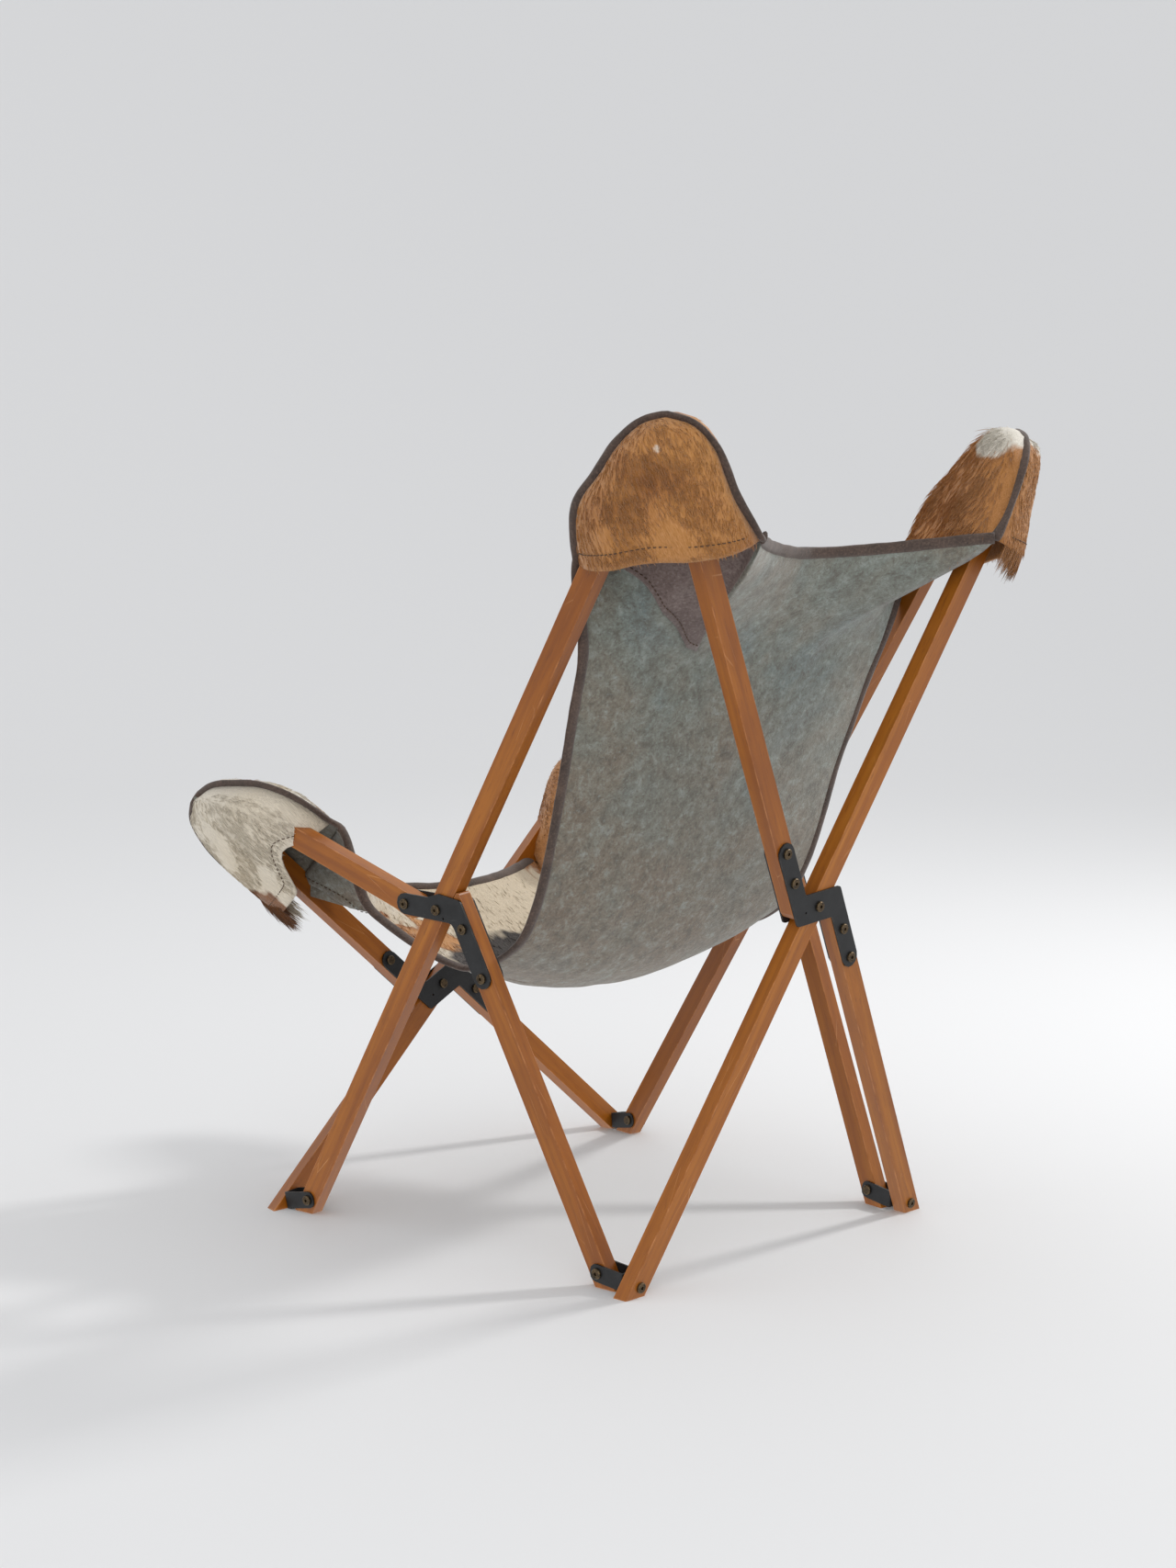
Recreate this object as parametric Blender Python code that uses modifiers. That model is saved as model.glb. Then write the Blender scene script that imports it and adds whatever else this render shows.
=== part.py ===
"""Folding wooden lounge chair with a hide sling.

Twelve beech sticks make four scissor frames: one at the back, one at the front and one on each side.
Steel plates hold the short sticks together at each crossing, and a steel clevis joins two frames at
every foot and every tip. A hide sling hangs from the four tips by its pockets.

Metres, +Z up, the floor at Z = 0. The sitter faces -Y, and the sitter's left is +X.
"""

from math import atan2, cos, pi, radians, sin, sqrt, tan

import bmesh
import bpy
from mathutils import Matrix, Vector

# ---------------------------------------------------------------- driving dimensions

# Left-hand corners of the frame, on the centre line of the side sticks. The right side is mirrored.
BACK_TIP = Vector((0.317, 0.363, 1.000))
BACK_FOOT = Vector((0.263, 0.2465, 0.020))
FRONT_FOOT = Vector((0.311, -0.259, 0.020))
FRONT_TIP_Y = -0.356
FRONT_TIP_Z = 0.557

STICK_WIDTH = 0.028
STICK_THICK = 0.020
STICK_EDGE = 0.0025
TIP_OVERRUN = 0.014
PARALLEL_OFFSET = 0.0305

# The side scissor crosses at this share of the long stick, from its tip.
SIDE_CROSSING = 0.5647
# The elbow bolt of the upper side stick, from the crossing: along the lower stick, and ahead of it.
ELBOW_UP = 0.026
ELBOW_AHEAD = 0.048

# From a side stick's end to the centre line of the back or front stick it is hinged to.
BACK_REACH = 0.053
FRONT_REACH = 0.054

PLATE_THICK = 0.0025
PLATE_ARM = 0.028
PLATE_BOLT_NEAR = 0.055
PLATE_BOLT_FAR = 0.099
SIDE_BOLT_NEAR = 0.037
SIDE_BOLT_FAR = 0.103
PUNCH_RADIUS = 0.0016

CLEVIS_THICK = 0.0025
CLEVIS_HEIGHT = 0.0225
CLEVIS_NOSE = 0.011

SHANK_RADIUS = 0.0030
HOLE_RADIUS = 0.0033
HEAD_RADIUS = 0.0068
HEAD_HEIGHT = 0.0030
HEAD_EDGE = 0.0008
SOCKET_RADIUS = 0.0026
SOCKET_DEPTH = 0.0020

GAP = 0.0003
OPEN_GAP = 0.0025
ROUND_STEPS = 12

HIDE_THICK = 0.004

MIRROR = Vector((-1.0, 1.0, 1.0))

# ---------------------------------------------------------------- materials

FINISHES = {
    "beech": ((0.47, 0.20, 0.07), 0.42, 0.0),
    "blackened_steel": ((0.020, 0.021, 0.023), 0.48, 0.7),
    "bronzed_steel": ((0.10, 0.075, 0.045), 0.38, 0.9),
    "hide": ((0.24, 0.25, 0.22), 0.90, 0.0),
    "hair_hide": ((0.42, 0.21, 0.08), 0.85, 0.0),
}


def finish(name, kind):
    """A Principled material of one piece's own."""
    colour, roughness, metallic = FINISHES[kind]
    material = bpy.data.materials.new(f"{kind}_{name}")
    material.use_nodes = True
    shader = material.node_tree.nodes["Principled BSDF"]
    shader.inputs["Base Color"].default_value = (*colour, 1.0)
    shader.inputs["Roughness"].default_value = roughness
    shader.inputs["Metallic"].default_value = metallic
    return material


# ---------------------------------------------------------------- scene and solid helpers

for leftover in list(bpy.data.objects):
    bpy.data.objects.remove(leftover)

PARTS = bpy.data.collections.new("folding_sling_chair")
CUTTERS = bpy.data.collections.new("cutters")
bpy.context.scene.collection.children.link(PARTS)
bpy.context.scene.collection.children.link(CUTTERS)


def basis(origin, x_axis, z_axis):
    """A frame at origin whose Z is z_axis and whose X is as near x_axis as it can be."""
    z = z_axis.normalized()
    x = (x_axis - x_axis.dot(z) * z).normalized()
    y = z.cross(x)
    return Matrix.Translation(origin) @ Matrix((x, y, z)).transposed().to_4x4()


def mirrored(points_frame):
    """The same frame on the right-hand side, still right-handed."""
    flip = Matrix.Diagonal((-1.0, 1.0, 1.0, 1.0))
    turn = Matrix.Diagonal((-1.0, 1.0, 1.0, 1.0))
    return flip @ points_frame @ turn


def add_mesh(name, mesh, frame, collection=PARTS):
    """An object that holds mesh, placed by frame."""
    thing = bpy.data.objects.new(name, mesh)
    thing.matrix_world = frame
    collection.objects.link(thing)
    return thing


def as_cutter(thing):
    """Marks an object as a cutter: out of renders and drawn as wire."""
    thing.hide_render = True
    thing.display_type = "WIRE"
    return thing


def rounded(corners):
    """Points of a closed outline from (x, y, radius) corners, each turned by an arc."""
    outline = []
    count = len(corners)
    for index, (x, y, radius) in enumerate(corners):
        here = Vector((x, y))
        before = (Vector(corners[index - 1][:2]) - here).normalized()
        after = (Vector(corners[(index + 1) % count][:2]) - here).normalized()
        if radius <= 0.0:
            outline.append(here)
            continue
        half = before.angle(after) / 2
        reach = radius / tan(half)
        centre = here + (before + after).normalized() * radius / sin(half)
        start = here + before * reach - centre
        sweep = start.angle_signed(here + after * reach - centre)
        steps = max(2, round(abs(sweep) / radians(30)))
        for step in range(steps + 1):
            angle = -sweep * step / steps
            outline.append(
                centre
                + Vector(
                    (
                        start.x * cos(angle) - start.y * sin(angle),
                        start.x * sin(angle) + start.y * cos(angle),
                    )
                )
            )
    return outline


def circle(x, y, radius, steps=ROUND_STEPS):
    """Points round a circle."""
    return [
        Vector((x + radius * cos(2 * pi * n / steps), y + radius * sin(2 * pi * n / steps)))
        for n in range(steps)
    ]


def flat_mesh(name, loops, thickness):
    """A flat outline with any holes in it, as a closed mesh centred on its own XY plane."""
    curve = bpy.data.curves.new(name, "CURVE")
    curve.dimensions = "2D"
    curve.fill_mode = "BOTH"
    curve.extrude = thickness / 2
    for loop in loops:
        spline = curve.splines.new("POLY")
        spline.points.add(len(loop) - 1)
        for point, corner in zip(spline.points, loop):
            point.co = (corner.x, corner.y, 0.0, 1.0)
        spline.use_cyclic_u = True
    holder = bpy.data.objects.new(f"{name}_outline", curve)
    CUTTERS.objects.link(holder)
    graph = bpy.context.evaluated_depsgraph_get()
    mesh = bpy.data.meshes.new_from_object(holder.evaluated_get(graph))
    bpy.data.objects.remove(holder)
    shape = bmesh.new()
    shape.from_mesh(mesh)
    bmesh.ops.remove_doubles(shape, verts=shape.verts, dist=0.00001)
    bmesh.ops.recalc_face_normals(shape, faces=shape.faces)
    shape.to_mesh(mesh)
    shape.free()
    return mesh


def drill(thing, bores):
    """Cuts round holes, given as (centre, axis, radius, length) in world terms."""
    shape = bmesh.new()
    for centre, axis, radius, length in bores:
        side = axis.orthogonal()
        bmesh.ops.create_cone(
            shape,
            cap_ends=True,
            segments=ROUND_STEPS,
            radius1=radius,
            radius2=radius,
            depth=length,
            matrix=basis(centre, side, axis),
        )
    mesh = bpy.data.meshes.new(f"{thing.name}_bores")
    shape.to_mesh(mesh)
    shape.free()
    cutter = as_cutter(add_mesh(f"{thing.name}_bores", mesh, Matrix.Identity(4), CUTTERS))
    cut = thing.modifiers.new("bores", "BOOLEAN")
    cut.operation = "DIFFERENCE"
    cut.solver = "EXACT"
    cut.object = cutter


def floor_cutter():
    """A block whose top face is the floor."""
    bpy.ops.mesh.primitive_cube_add(size=1.0)
    block = bpy.context.active_object
    block.name = "floor_cutter"
    block.data.transform(Matrix.Translation((0, 0, -0.5)))
    block.data.transform(Matrix.Diagonal((2.0, 2.0, 0.2, 1.0)))
    for holder in list(block.users_collection):
        holder.objects.unlink(block)
    CUTTERS.objects.link(block)
    return as_cutter(block)


FLOOR = floor_cutter()


def level_foot(thing):
    """Cuts a stick's end level with the floor."""
    cut = thing.modifiers.new("level_foot", "BOOLEAN")
    cut.operation = "DIFFERENCE"
    cut.solver = "EXACT"
    cut.object = FLOOR


# ---------------------------------------------------------------- frame geometry


def side_frame():
    """Points and directions of the left side scissor."""
    normal = (FRONT_FOOT - BACK_TIP).cross(BACK_FOOT - BACK_TIP).normalized()
    if normal.x < 0:
        normal = -normal
    drop = normal.y * (FRONT_TIP_Y - BACK_TIP.y) + normal.z * (FRONT_TIP_Z - BACK_TIP.z)
    front_tip = Vector((BACK_TIP.x - drop / normal.x, FRONT_TIP_Y, FRONT_TIP_Z))
    crossing = BACK_TIP.lerp(FRONT_FOOT, SIDE_CROSSING)
    span = BACK_FOOT - crossing
    away = normal.cross(span).normalized()
    if away.y < 0:
        away = -away
    along = sqrt(span.length_squared - PARALLEL_OFFSET**2)
    down = (along * span.normalized() - PARALLEL_OFFSET * away) / span.length
    rear = (PARALLEL_OFFSET * span.normalized() + along * away) / span.length
    elbow = crossing - ELBOW_UP * down - ELBOW_AHEAD * rear
    return normal, front_tip, crossing, down, rear, elbow


SIDE_NORMAL, FRONT_TIP, SIDE_CROSS, LOWER_DOWN, LOWER_REAR, ELBOW = side_frame()


def end_frame(tip, foot, reach, rearward):
    """Points and directions of the back or the front scissor, whose sticks lie reach off the side sticks."""
    slope = tip - foot
    normal = Vector((0.0, -slope.z, slope.y)).normalized()
    if normal.y * rearward < 0:
        normal = -normal
    left_tip = tip + reach * normal
    left_foot = foot + reach * normal
    right_tip = left_tip * MIRROR
    right_foot = left_foot * MIRROR
    span = right_foot - left_tip
    away = normal.cross(span).normalized()
    if away.x < 0:
        away = -away
    along = sqrt(span.length_squared - 4 * PARALLEL_OFFSET**2)
    down = (along * span.normalized() + 2 * PARALLEL_OFFSET * away) / span.length
    left = (along * away - 2 * PARALLEL_OFFSET * span.normalized()) / span.length
    middle = left_tip - PARALLEL_OFFSET * left
    across = left_foot - right_tip
    gap = middle - right_tip
    # where the middle line, along down, meets the long stick, along across
    side = normal.cross(down)
    share = gap.dot(side) / across.dot(side)
    crossing = right_tip + across * share
    return normal, crossing, down, left, left_tip, left_foot, right_tip, right_foot


BACK = end_frame(BACK_TIP, BACK_FOOT, BACK_REACH, 1.0)
FRONT = end_frame(FRONT_TIP, FRONT_FOOT, FRONT_REACH, -1.0)


# ---------------------------------------------------------------- sticks


def stick(name, frame, low, high, low_end, high_end, bores, foot=False):
    """A stick along frame's Z, its width along X, from low to high.

    low_end and high_end are "square" (a small chamfer), "round" (half round) or a pair of numbers:
    how far the -X and +X corners of an oblique end stand back from the end.
    """
    half = STICK_WIDTH / 2

    def end(place, style, direction):
        if style == "round":
            return [(half, place, half * 0.98), (-half, place, half * 0.98)]
        if style == "square":
            return [(half, place, 0.004), (-half, place, 0.004)]
        back, front = style
        return [
            (half, place - direction * front, 0.004),
            (-half, place - direction * back, 0.004),
        ]

    corners = end(high, high_end, 1) + end(low, low_end, -1)[::-1]
    mesh = flat_mesh(name, [rounded(corners)], STICK_THICK)
    # the outline's own plane is X-Y: stand it up so that its length is the frame's Z
    mesh.transform(Matrix.Rotation(pi / 2, 4, "X"))
    thing = add_mesh(name, mesh, frame)
    thing.data.materials.append(finish(name, "beech"))
    edges = thing.modifiers.new("worn_edges", "BEVEL")
    edges.width = STICK_EDGE
    edges.segments = 2
    edges.limit_method = "ANGLE"
    edges.angle_limit = radians(50)
    drill(thing, bores)
    if foot:
        level_foot(thing)
    return thing


def bore(centre, axis):
    """A bolt hole through a stick or a plate."""
    return (centre, axis, HOLE_RADIUS, 0.09)


def side_sticks(hand, flip):
    """The long, upper and lower sticks of one side. flip is the identity, or the mirror."""
    normal = SIDE_NORMAL
    across = (FRONT_FOOT - BACK_TIP).normalized()

    def placed(origin, direction):
        # Z along the stick, Y along the side's normal
        y = normal
        x = y.cross(direction).normalized()
        frame = Matrix.Translation(origin) @ Matrix((x, y, direction)).transposed().to_4x4()
        return frame if flip == 1 else mirrored(frame)

    def at(point):
        return point if flip == 1 else point * MIRROR

    turn = normal if flip == 1 else normal * MIRROR

    length = (FRONT_FOOT - BACK_TIP).length
    to_tip = -across
    crossing = length * (1 - SIDE_CROSSING)
    long_stick = stick(
        f"side_long_stick_{hand}",
        placed(SIDE_CROSS, to_tip),
        -crossing - 0.045,
        length - crossing + TIP_OVERRUN,
        "square",
        "square",
        [bore(at(p), turn) for p in (SIDE_CROSS, BACK_TIP, FRONT_FOOT)],
        foot=True,
    )

    # the lower stick's head is cut to rest along the long stick's edge
    start = SIDE_CROSS + PARALLEL_OFFSET * LOWER_REAR
    up = -LOWER_DOWN
    spread = up.angle(to_tip)
    half = STICK_WIDTH / 2
    frame = placed(start, up)
    x_is_rear = frame.to_3x3().col[0].dot(LOWER_REAR if flip == 1 else LOWER_REAR * MIRROR) > 0

    def room(offset):
        # how far up a corner may reach before it meets the long stick's edge
        return ((PARALLEL_OFFSET + offset) * cos(spread) - half - 0.0008) / sin(spread)

    rear_top, front_top = room(half), room(-half)
    back_set = (rear_top - front_top) if x_is_rear else 0.0
    front_set = 0.0 if x_is_rear else (rear_top - front_top)
    lower_length = (BACK_FOOT - start).length
    stick(
        f"side_lower_stick_{hand}",
        frame,
        -lower_length - 0.040,
        rear_top,
        "square",
        (back_set, front_set),
        [
            bore(at(start + LOWER_DOWN * SIDE_BOLT_NEAR), turn),
            bore(at(start + LOWER_DOWN * SIDE_BOLT_FAR), turn),
            bore(at(BACK_FOOT), turn),
        ],
        foot=True,
    )

    reach = FRONT_TIP - ELBOW
    stick(
        f"side_upper_stick_{hand}",
        placed(ELBOW, reach.normalized()),
        -0.0265,
        reach.length + TIP_OVERRUN,
        "round",
        "square",
        [bore(at(ELBOW), turn), bore(at(FRONT_TIP), turn)],
    )
    return long_stick


def end_sticks(place, layout, tip_bore, foot_bore):
    """The long, upper and lower sticks of the back or the front scissor."""
    normal, crossing, down, left, left_tip, left_foot, right_tip, right_foot = layout

    def placed(origin, direction):
        x = normal.cross(direction).normalized()
        return Matrix.Translation(origin) @ Matrix((x, normal, direction)).transposed().to_4x4()

    up_long = (right_tip - left_foot).normalized()
    stick(
        f"{place}_long_stick",
        placed(crossing, up_long),
        -(crossing - left_foot).length - 0.045,
        (right_tip - crossing).length + TIP_OVERRUN,
        "square",
        "square",
        [bore(crossing, normal), tip_bore(right_tip), foot_bore(left_foot)],
        foot=True,
    )
    spread = (-down).angle(up_long)
    half = STICK_WIDTH / 2
    # the half-round end stops where it would touch the long stick's edge
    stop = (half * 2 + 0.0008 - PARALLEL_OFFSET * cos(spread)) / sin(spread) - half
    upper_start = crossing + PARALLEL_OFFSET * left
    lower_start = crossing - PARALLEL_OFFSET * left
    stick(
        f"{place}_upper_stick",
        placed(upper_start, -down),
        stop,
        (left_tip - upper_start).length + TIP_OVERRUN,
        "round",
        "square",
        [
            bore(upper_start - down * PLATE_BOLT_NEAR, normal),
            bore(upper_start - down * PLATE_BOLT_FAR, normal),
            tip_bore(left_tip),
        ],
    )
    stick(
        f"{place}_lower_stick",
        placed(lower_start, -down),
        -(right_foot - lower_start).length - 0.045,
        -stop,
        "square",
        "round",
        [
            bore(lower_start + down * PLATE_BOLT_NEAR, normal),
            bore(lower_start + down * PLATE_BOLT_FAR, normal),
            foot_bore(right_foot),
        ],
        foot=True,
    )


# ---------------------------------------------------------------- bracket plates


def plate(name, outline, holes, frame):
    """A flat steel plate in frame's XY plane."""
    loops = [rounded(outline)]
    loops += [circle(x, y, radius) for x, y, radius in holes]
    thing = add_mesh(name, flat_mesh(name, loops, PLATE_THICK), frame)
    thing.data.materials.append(finish(name, "blackened_steel"))
    return thing


def plate_lift():
    """From a stick's middle to the middle of the plate on its face."""
    return STICK_THICK / 2 + GAP + PLATE_THICK / 2


def side_plate_outline():
    """The bent side plate: X rearward, Y up the lower stick, from the crossing."""
    arm = PLATE_ARM / 2 - 0.0005
    elbow = Vector((-ELBOW_AHEAD, ELBOW_UP))
    along = -elbow.normalized()
    over = Vector((-along.y, along.x))
    nose_top = elbow - arm * along + arm * over
    nose_low = elbow - arm * along - arm * over
    rear = PARALLEL_OFFSET + arm
    fore = PARALLEL_OFFSET - arm
    foot = -SIDE_BOLT_FAR - arm
    # where the underside of the elbow arm meets the front of the lower arm
    crook = nose_low.y + (fore - nose_low.x) * along.y / along.x
    turn = arm * 0.98
    return [
        (nose_top.x, nose_top.y, turn),
        (-0.007, 0.0200, 0.008),
        (0.013, 0.0170, 0.010),
        (rear, -0.004, 0.007),
        (rear, foot, turn),
        (fore, foot, turn),
        (fore, crook, 0.010),
        (nose_low.x, nose_low.y, turn),
    ]


def side_plates(hand, flip):
    """The inner and outer plates of one side."""
    holes = [
        (0.0, 0.0, HOLE_RADIUS),
        (-ELBOW_AHEAD, ELBOW_UP, HOLE_RADIUS),
        (PARALLEL_OFFSET, -SIDE_BOLT_NEAR, HOLE_RADIUS),
        (PARALLEL_OFFSET, -SIDE_BOLT_FAR, HOLE_RADIUS),
        (0.006, -0.014, PUNCH_RADIUS),
    ]
    for face, side in (("outer", 1), ("inner", -1)):
        z = LOWER_REAR.cross(-LOWER_DOWN)
        frame = Matrix((LOWER_REAR, -LOWER_DOWN, z)).transposed().to_4x4()
        centre = SIDE_CROSS + side * plate_lift() * SIDE_NORMAL
        frame = Matrix.Translation(centre) @ frame
        if flip != 1:
            # a half turn of the flat plate keeps its outline and keeps the frame right-handed
            frame = Matrix.Diagonal((-1, 1, 1, 1)) @ frame @ Matrix.Diagonal((1, 1, -1, 1))
        plate(f"side_plate_{face}_{hand}", side_plate_outline(), holes, frame)


def end_plate_outline(slant):
    """The Z-shaped plate: X to the upper arm's side, Y up, from the crossing."""
    arm = PLATE_ARM / 2 - 0.0005
    outer = PARALLEL_OFFSET + arm
    inner = PARALLEL_OFFSET - arm
    top = PLATE_BOLT_FAR + arm
    turn = arm * 0.98
    half = [
        (inner, top, turn),
        (outer, top, turn),
        (outer, -0.003, 0.005),
        (-inner, -0.003 - (outer + inner) * slant, 0.003),
    ]
    return half + [(-x, -y, radius) for x, y, radius in half]


def end_plates(place, layout):
    """The inner and outer plates of the back or the front scissor."""
    normal, crossing, down, left = layout[:4]
    near, far = PLATE_BOLT_NEAR, PLATE_BOLT_FAR
    holes = [(0.0, 0.0, HOLE_RADIUS)]
    for side in (1, -1):
        holes += [(side * PARALLEL_OFFSET, side * reach, HOLE_RADIUS) for reach in (near, far)]
    holes.append((PARALLEL_OFFSET - 0.006, 0.006, PUNCH_RADIUS))
    z = left.cross(-down)
    turn = Matrix((left, -down, z)).transposed().to_4x4()
    for face, side in (("outer", 1), ("inner", -1)):
        centre = crossing + side * plate_lift() * normal
        plate(
            f"{place}_plate_{face}",
            end_plate_outline(0.40),
            holes,
            Matrix.Translation(centre) @ turn,
        )


# ---------------------------------------------------------------- bolts


def bolt(name, centre, axis, low, high, low_head=True, kind="bronzed_steel"):
    """A bolt along axis: a capped head beyond high, and a matching cap beyond low."""
    edge = HEAD_EDGE
    seat = GAP
    profile = [(0.0, high + seat + HEAD_HEIGHT), (HEAD_RADIUS - edge, high + seat + HEAD_HEIGHT)]
    profile += [(HEAD_RADIUS, high + seat + HEAD_HEIGHT - edge), (HEAD_RADIUS, high + seat)]
    profile += [(SHANK_RADIUS, high + seat)]
    if low_head:
        profile += [(SHANK_RADIUS, low - seat), (HEAD_RADIUS, low - seat)]
        profile += [(HEAD_RADIUS, low - seat - HEAD_HEIGHT + edge)]
        profile += [(HEAD_RADIUS - edge, low - seat - HEAD_HEIGHT)]
        profile += [(0.0, low - seat - HEAD_HEIGHT)]
    else:
        profile += [(SHANK_RADIUS, low), (0.0, low)]
    mesh = bpy.data.meshes.new(name)
    mesh.from_pydata(
        [(radius, 0.0, height) for radius, height in profile],
        [(n, n + 1) for n in range(len(profile) - 1)],
        [],
    )
    thing = add_mesh(name, mesh, basis(centre, axis.orthogonal(), axis))
    thing.data.materials.append(finish(name, kind))
    turned = thing.modifiers.new("turned", "SCREW")
    turned.steps = ROUND_STEPS
    turned.render_steps = ROUND_STEPS
    turned.use_merge_vertices = True
    turned.merge_threshold = 0.00001
    turned.use_normal_calculate = True
    socket = bmesh.new()
    bmesh.ops.create_cone(
        socket,
        cap_ends=True,
        segments=6,
        radius1=SOCKET_RADIUS,
        radius2=SOCKET_RADIUS,
        depth=2 * SOCKET_DEPTH,
        matrix=Matrix.Translation((0, 0, high + seat + HEAD_HEIGHT)),
    )
    socket_mesh = bpy.data.meshes.new(f"{name}_socket")
    socket.to_mesh(socket_mesh)
    socket.free()
    cutter = as_cutter(
        add_mesh(f"{name}_socket", socket_mesh, thing.matrix_world.copy(), CUTTERS)
    )
    cut = thing.modifiers.new("hex_socket", "BOOLEAN")
    cut.operation = "DIFFERENCE"
    cut.solver = "EXACT"
    cut.object = cutter
    return thing


def through_plates():
    """Half the grip of a bolt through a stick and the plates on both its faces."""
    return STICK_THICK / 2 + GAP + PLATE_THICK


def side_bolts(hand, flip):
    """The elbow, pivot and two fixing bolts of one side."""
    places = {
        "side_pivot_bolt": SIDE_CROSS,
        "elbow_bolt": ELBOW,
        "side_fixing_bolt_upper": SIDE_CROSS + PARALLEL_OFFSET * LOWER_REAR + SIDE_BOLT_NEAR * LOWER_DOWN,
        "side_fixing_bolt_lower": SIDE_CROSS + PARALLEL_OFFSET * LOWER_REAR + SIDE_BOLT_FAR * LOWER_DOWN,
    }
    half = through_plates()
    for name, point in places.items():
        point, axis = (point, SIDE_NORMAL) if flip == 1 else (point * MIRROR, SIDE_NORMAL * MIRROR)
        bolt(f"{name}_{hand}", point, axis, -half, half)


def end_bolts(place, layout):
    """The pivot bolt and four fixing bolts of the back or the front scissor."""
    normal, crossing, down, left = layout[:4]
    half = through_plates()
    bolt(f"{place}_pivot_bolt", crossing, normal, -half, half)
    for arm, side in (("upper", 1), ("lower", -1)):
        for spot, reach in (("inner", PLATE_BOLT_NEAR), ("outer", PLATE_BOLT_FAR)):
            point = crossing + side * (PARALLEL_OFFSET * left - reach * down)
            bolt(f"{place}_{arm}_fixing_bolt_{spot}", point, normal, -half, half)


# ---------------------------------------------------------------- clevises at the corners


def clevis_frame(centre, side_normal, end_normal):
    """X across the ears, Y toward the base, Z up the fold; and the base's skew from square."""
    toward = (end_normal - end_normal.dot(side_normal) * side_normal).normalized()
    up = side_normal.cross(toward)
    frame = Matrix.Translation(centre) @ Matrix((side_normal, toward, up)).transposed().to_4x4()
    skew = atan2(end_normal.dot(side_normal), end_normal.dot(toward))
    return frame, skew


def clevis(name, centre, side_normal, end_normal, reach, gap, pins, bores):
    """A folded steel strap: a base against the end frame's stick and two ears round the side stick.

    pins adds the riveted pins of a tip's clevis, as (start, end) in world terms.
    """
    frame, skew = clevis_frame(centre, side_normal, end_normal)
    inside = STICK_THICK / 2 + GAP
    outside = inside + CLEVIS_THICK
    base_out = reach - STICK_THICK / 2 - gap
    base_in = base_out - CLEVIS_THICK

    def base(x, level):
        return (level - x * sin(skew)) / cos(skew)

    strap = [
        (outside, -CLEVIS_NOSE, 0.0),
        (outside, base(outside, base_out), 0.003),
        (-outside, base(-outside, base_out), 0.003),
        (-outside, -CLEVIS_NOSE, 0.0),
        (-inside, -CLEVIS_NOSE, 0.0),
        (-inside, base(-inside, base_in), 0.0),
        (inside, base(inside, base_in), 0.0),
        (inside, -CLEVIS_NOSE, 0.0),
    ]
    mesh = flat_mesh(name, [rounded(strap)], CLEVIS_HEIGHT)
    shape = bmesh.new()
    shape.from_mesh(mesh)
    noses = [
        edge
        for edge in shape.edges
        if all(abs(v.co.y + CLEVIS_NOSE) < 1e-6 for v in edge.verts)
        and abs(edge.verts[0].co.z - edge.verts[1].co.z) < 1e-6
        and abs(edge.verts[0].co.x - edge.verts[1].co.x) > 1e-4
    ]
    bmesh.ops.bevel(
        shape, geom=noses, offset=0.009, segments=3, profile=0.5, affect="EDGES"
    )
    shape.to_mesh(mesh)
    shape.free()
    thing = add_mesh(name, mesh, frame)
    thing.data.materials.append(finish(name, "blackened_steel"))
    if bores:
        drill(thing, bores)
    for number, (start, end) in enumerate(pins):
        pin = bmesh.new()
        bmesh.ops.create_cone(
            pin,
            cap_ends=True,
            segments=ROUND_STEPS,
            radius1=SHANK_RADIUS,
            radius2=SHANK_RADIUS,
            depth=(end - start).length,
            matrix=basis((start + end) / 2, (end - start).orthogonal(), end - start),
        )
        pin_mesh = bpy.data.meshes.new(f"{name}_pin_{number}")
        pin.to_mesh(pin_mesh)
        pin.free()
        rivet = as_cutter(
            add_mesh(f"{name}_pin_{number}", pin_mesh, Matrix.Identity(4), CUTTERS)
        )
        weld = thing.modifiers.new(f"rivet_{number}", "BOOLEAN")
        weld.operation = "UNION"
        weld.solver = "EXACT"
        weld.object = rivet
    return thing


def foot_corner(label, centre, side_normal, end_normal, reach, is_open):
    """A foot: its clevis, the cross bolt through its ears and the bolt through its base."""
    gap = OPEN_GAP if is_open else GAP
    base_point = centre + reach * end_normal
    clevis(
        f"foot_clevis_{label}",
        centre,
        side_normal,
        end_normal,
        reach,
        gap,
        [],
        [bore(centre, side_normal), (base_point, end_normal, HOLE_RADIUS, 0.06)],
    )
    half = STICK_THICK / 2 + GAP + CLEVIS_THICK
    bolt(f"foot_cross_bolt_{label}", centre, side_normal, -half, half)
    face = STICK_THICK / 2
    if is_open:
        bolt(f"foot_base_bolt_{label}", base_point, end_normal, -face + 0.001, face, low_head=False)
    else:
        low = -face - gap - CLEVIS_THICK
        bolt(f"foot_base_bolt_{label}", base_point, end_normal, low, face)


def tip_corner(label, centre, side_normal, end_normal, reach, is_open):
    """A tip: a clevis with riveted pins, hidden in the sling's pocket."""
    gap = OPEN_GAP if is_open else GAP
    half = STICK_THICK / 2 + GAP + CLEVIS_THICK + 0.0008
    pins = [(centre - half * side_normal, centre + half * side_normal)]
    if not is_open:
        base = reach - STICK_THICK / 2 - gap - CLEVIS_THICK
        pins.append((centre + base * end_normal, centre + (reach + 0.009) * end_normal))
    clevis(f"tip_clevis_{label}", centre, side_normal, end_normal, reach, gap, pins, [])


# ---------------------------------------------------------------- hide sling

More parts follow.
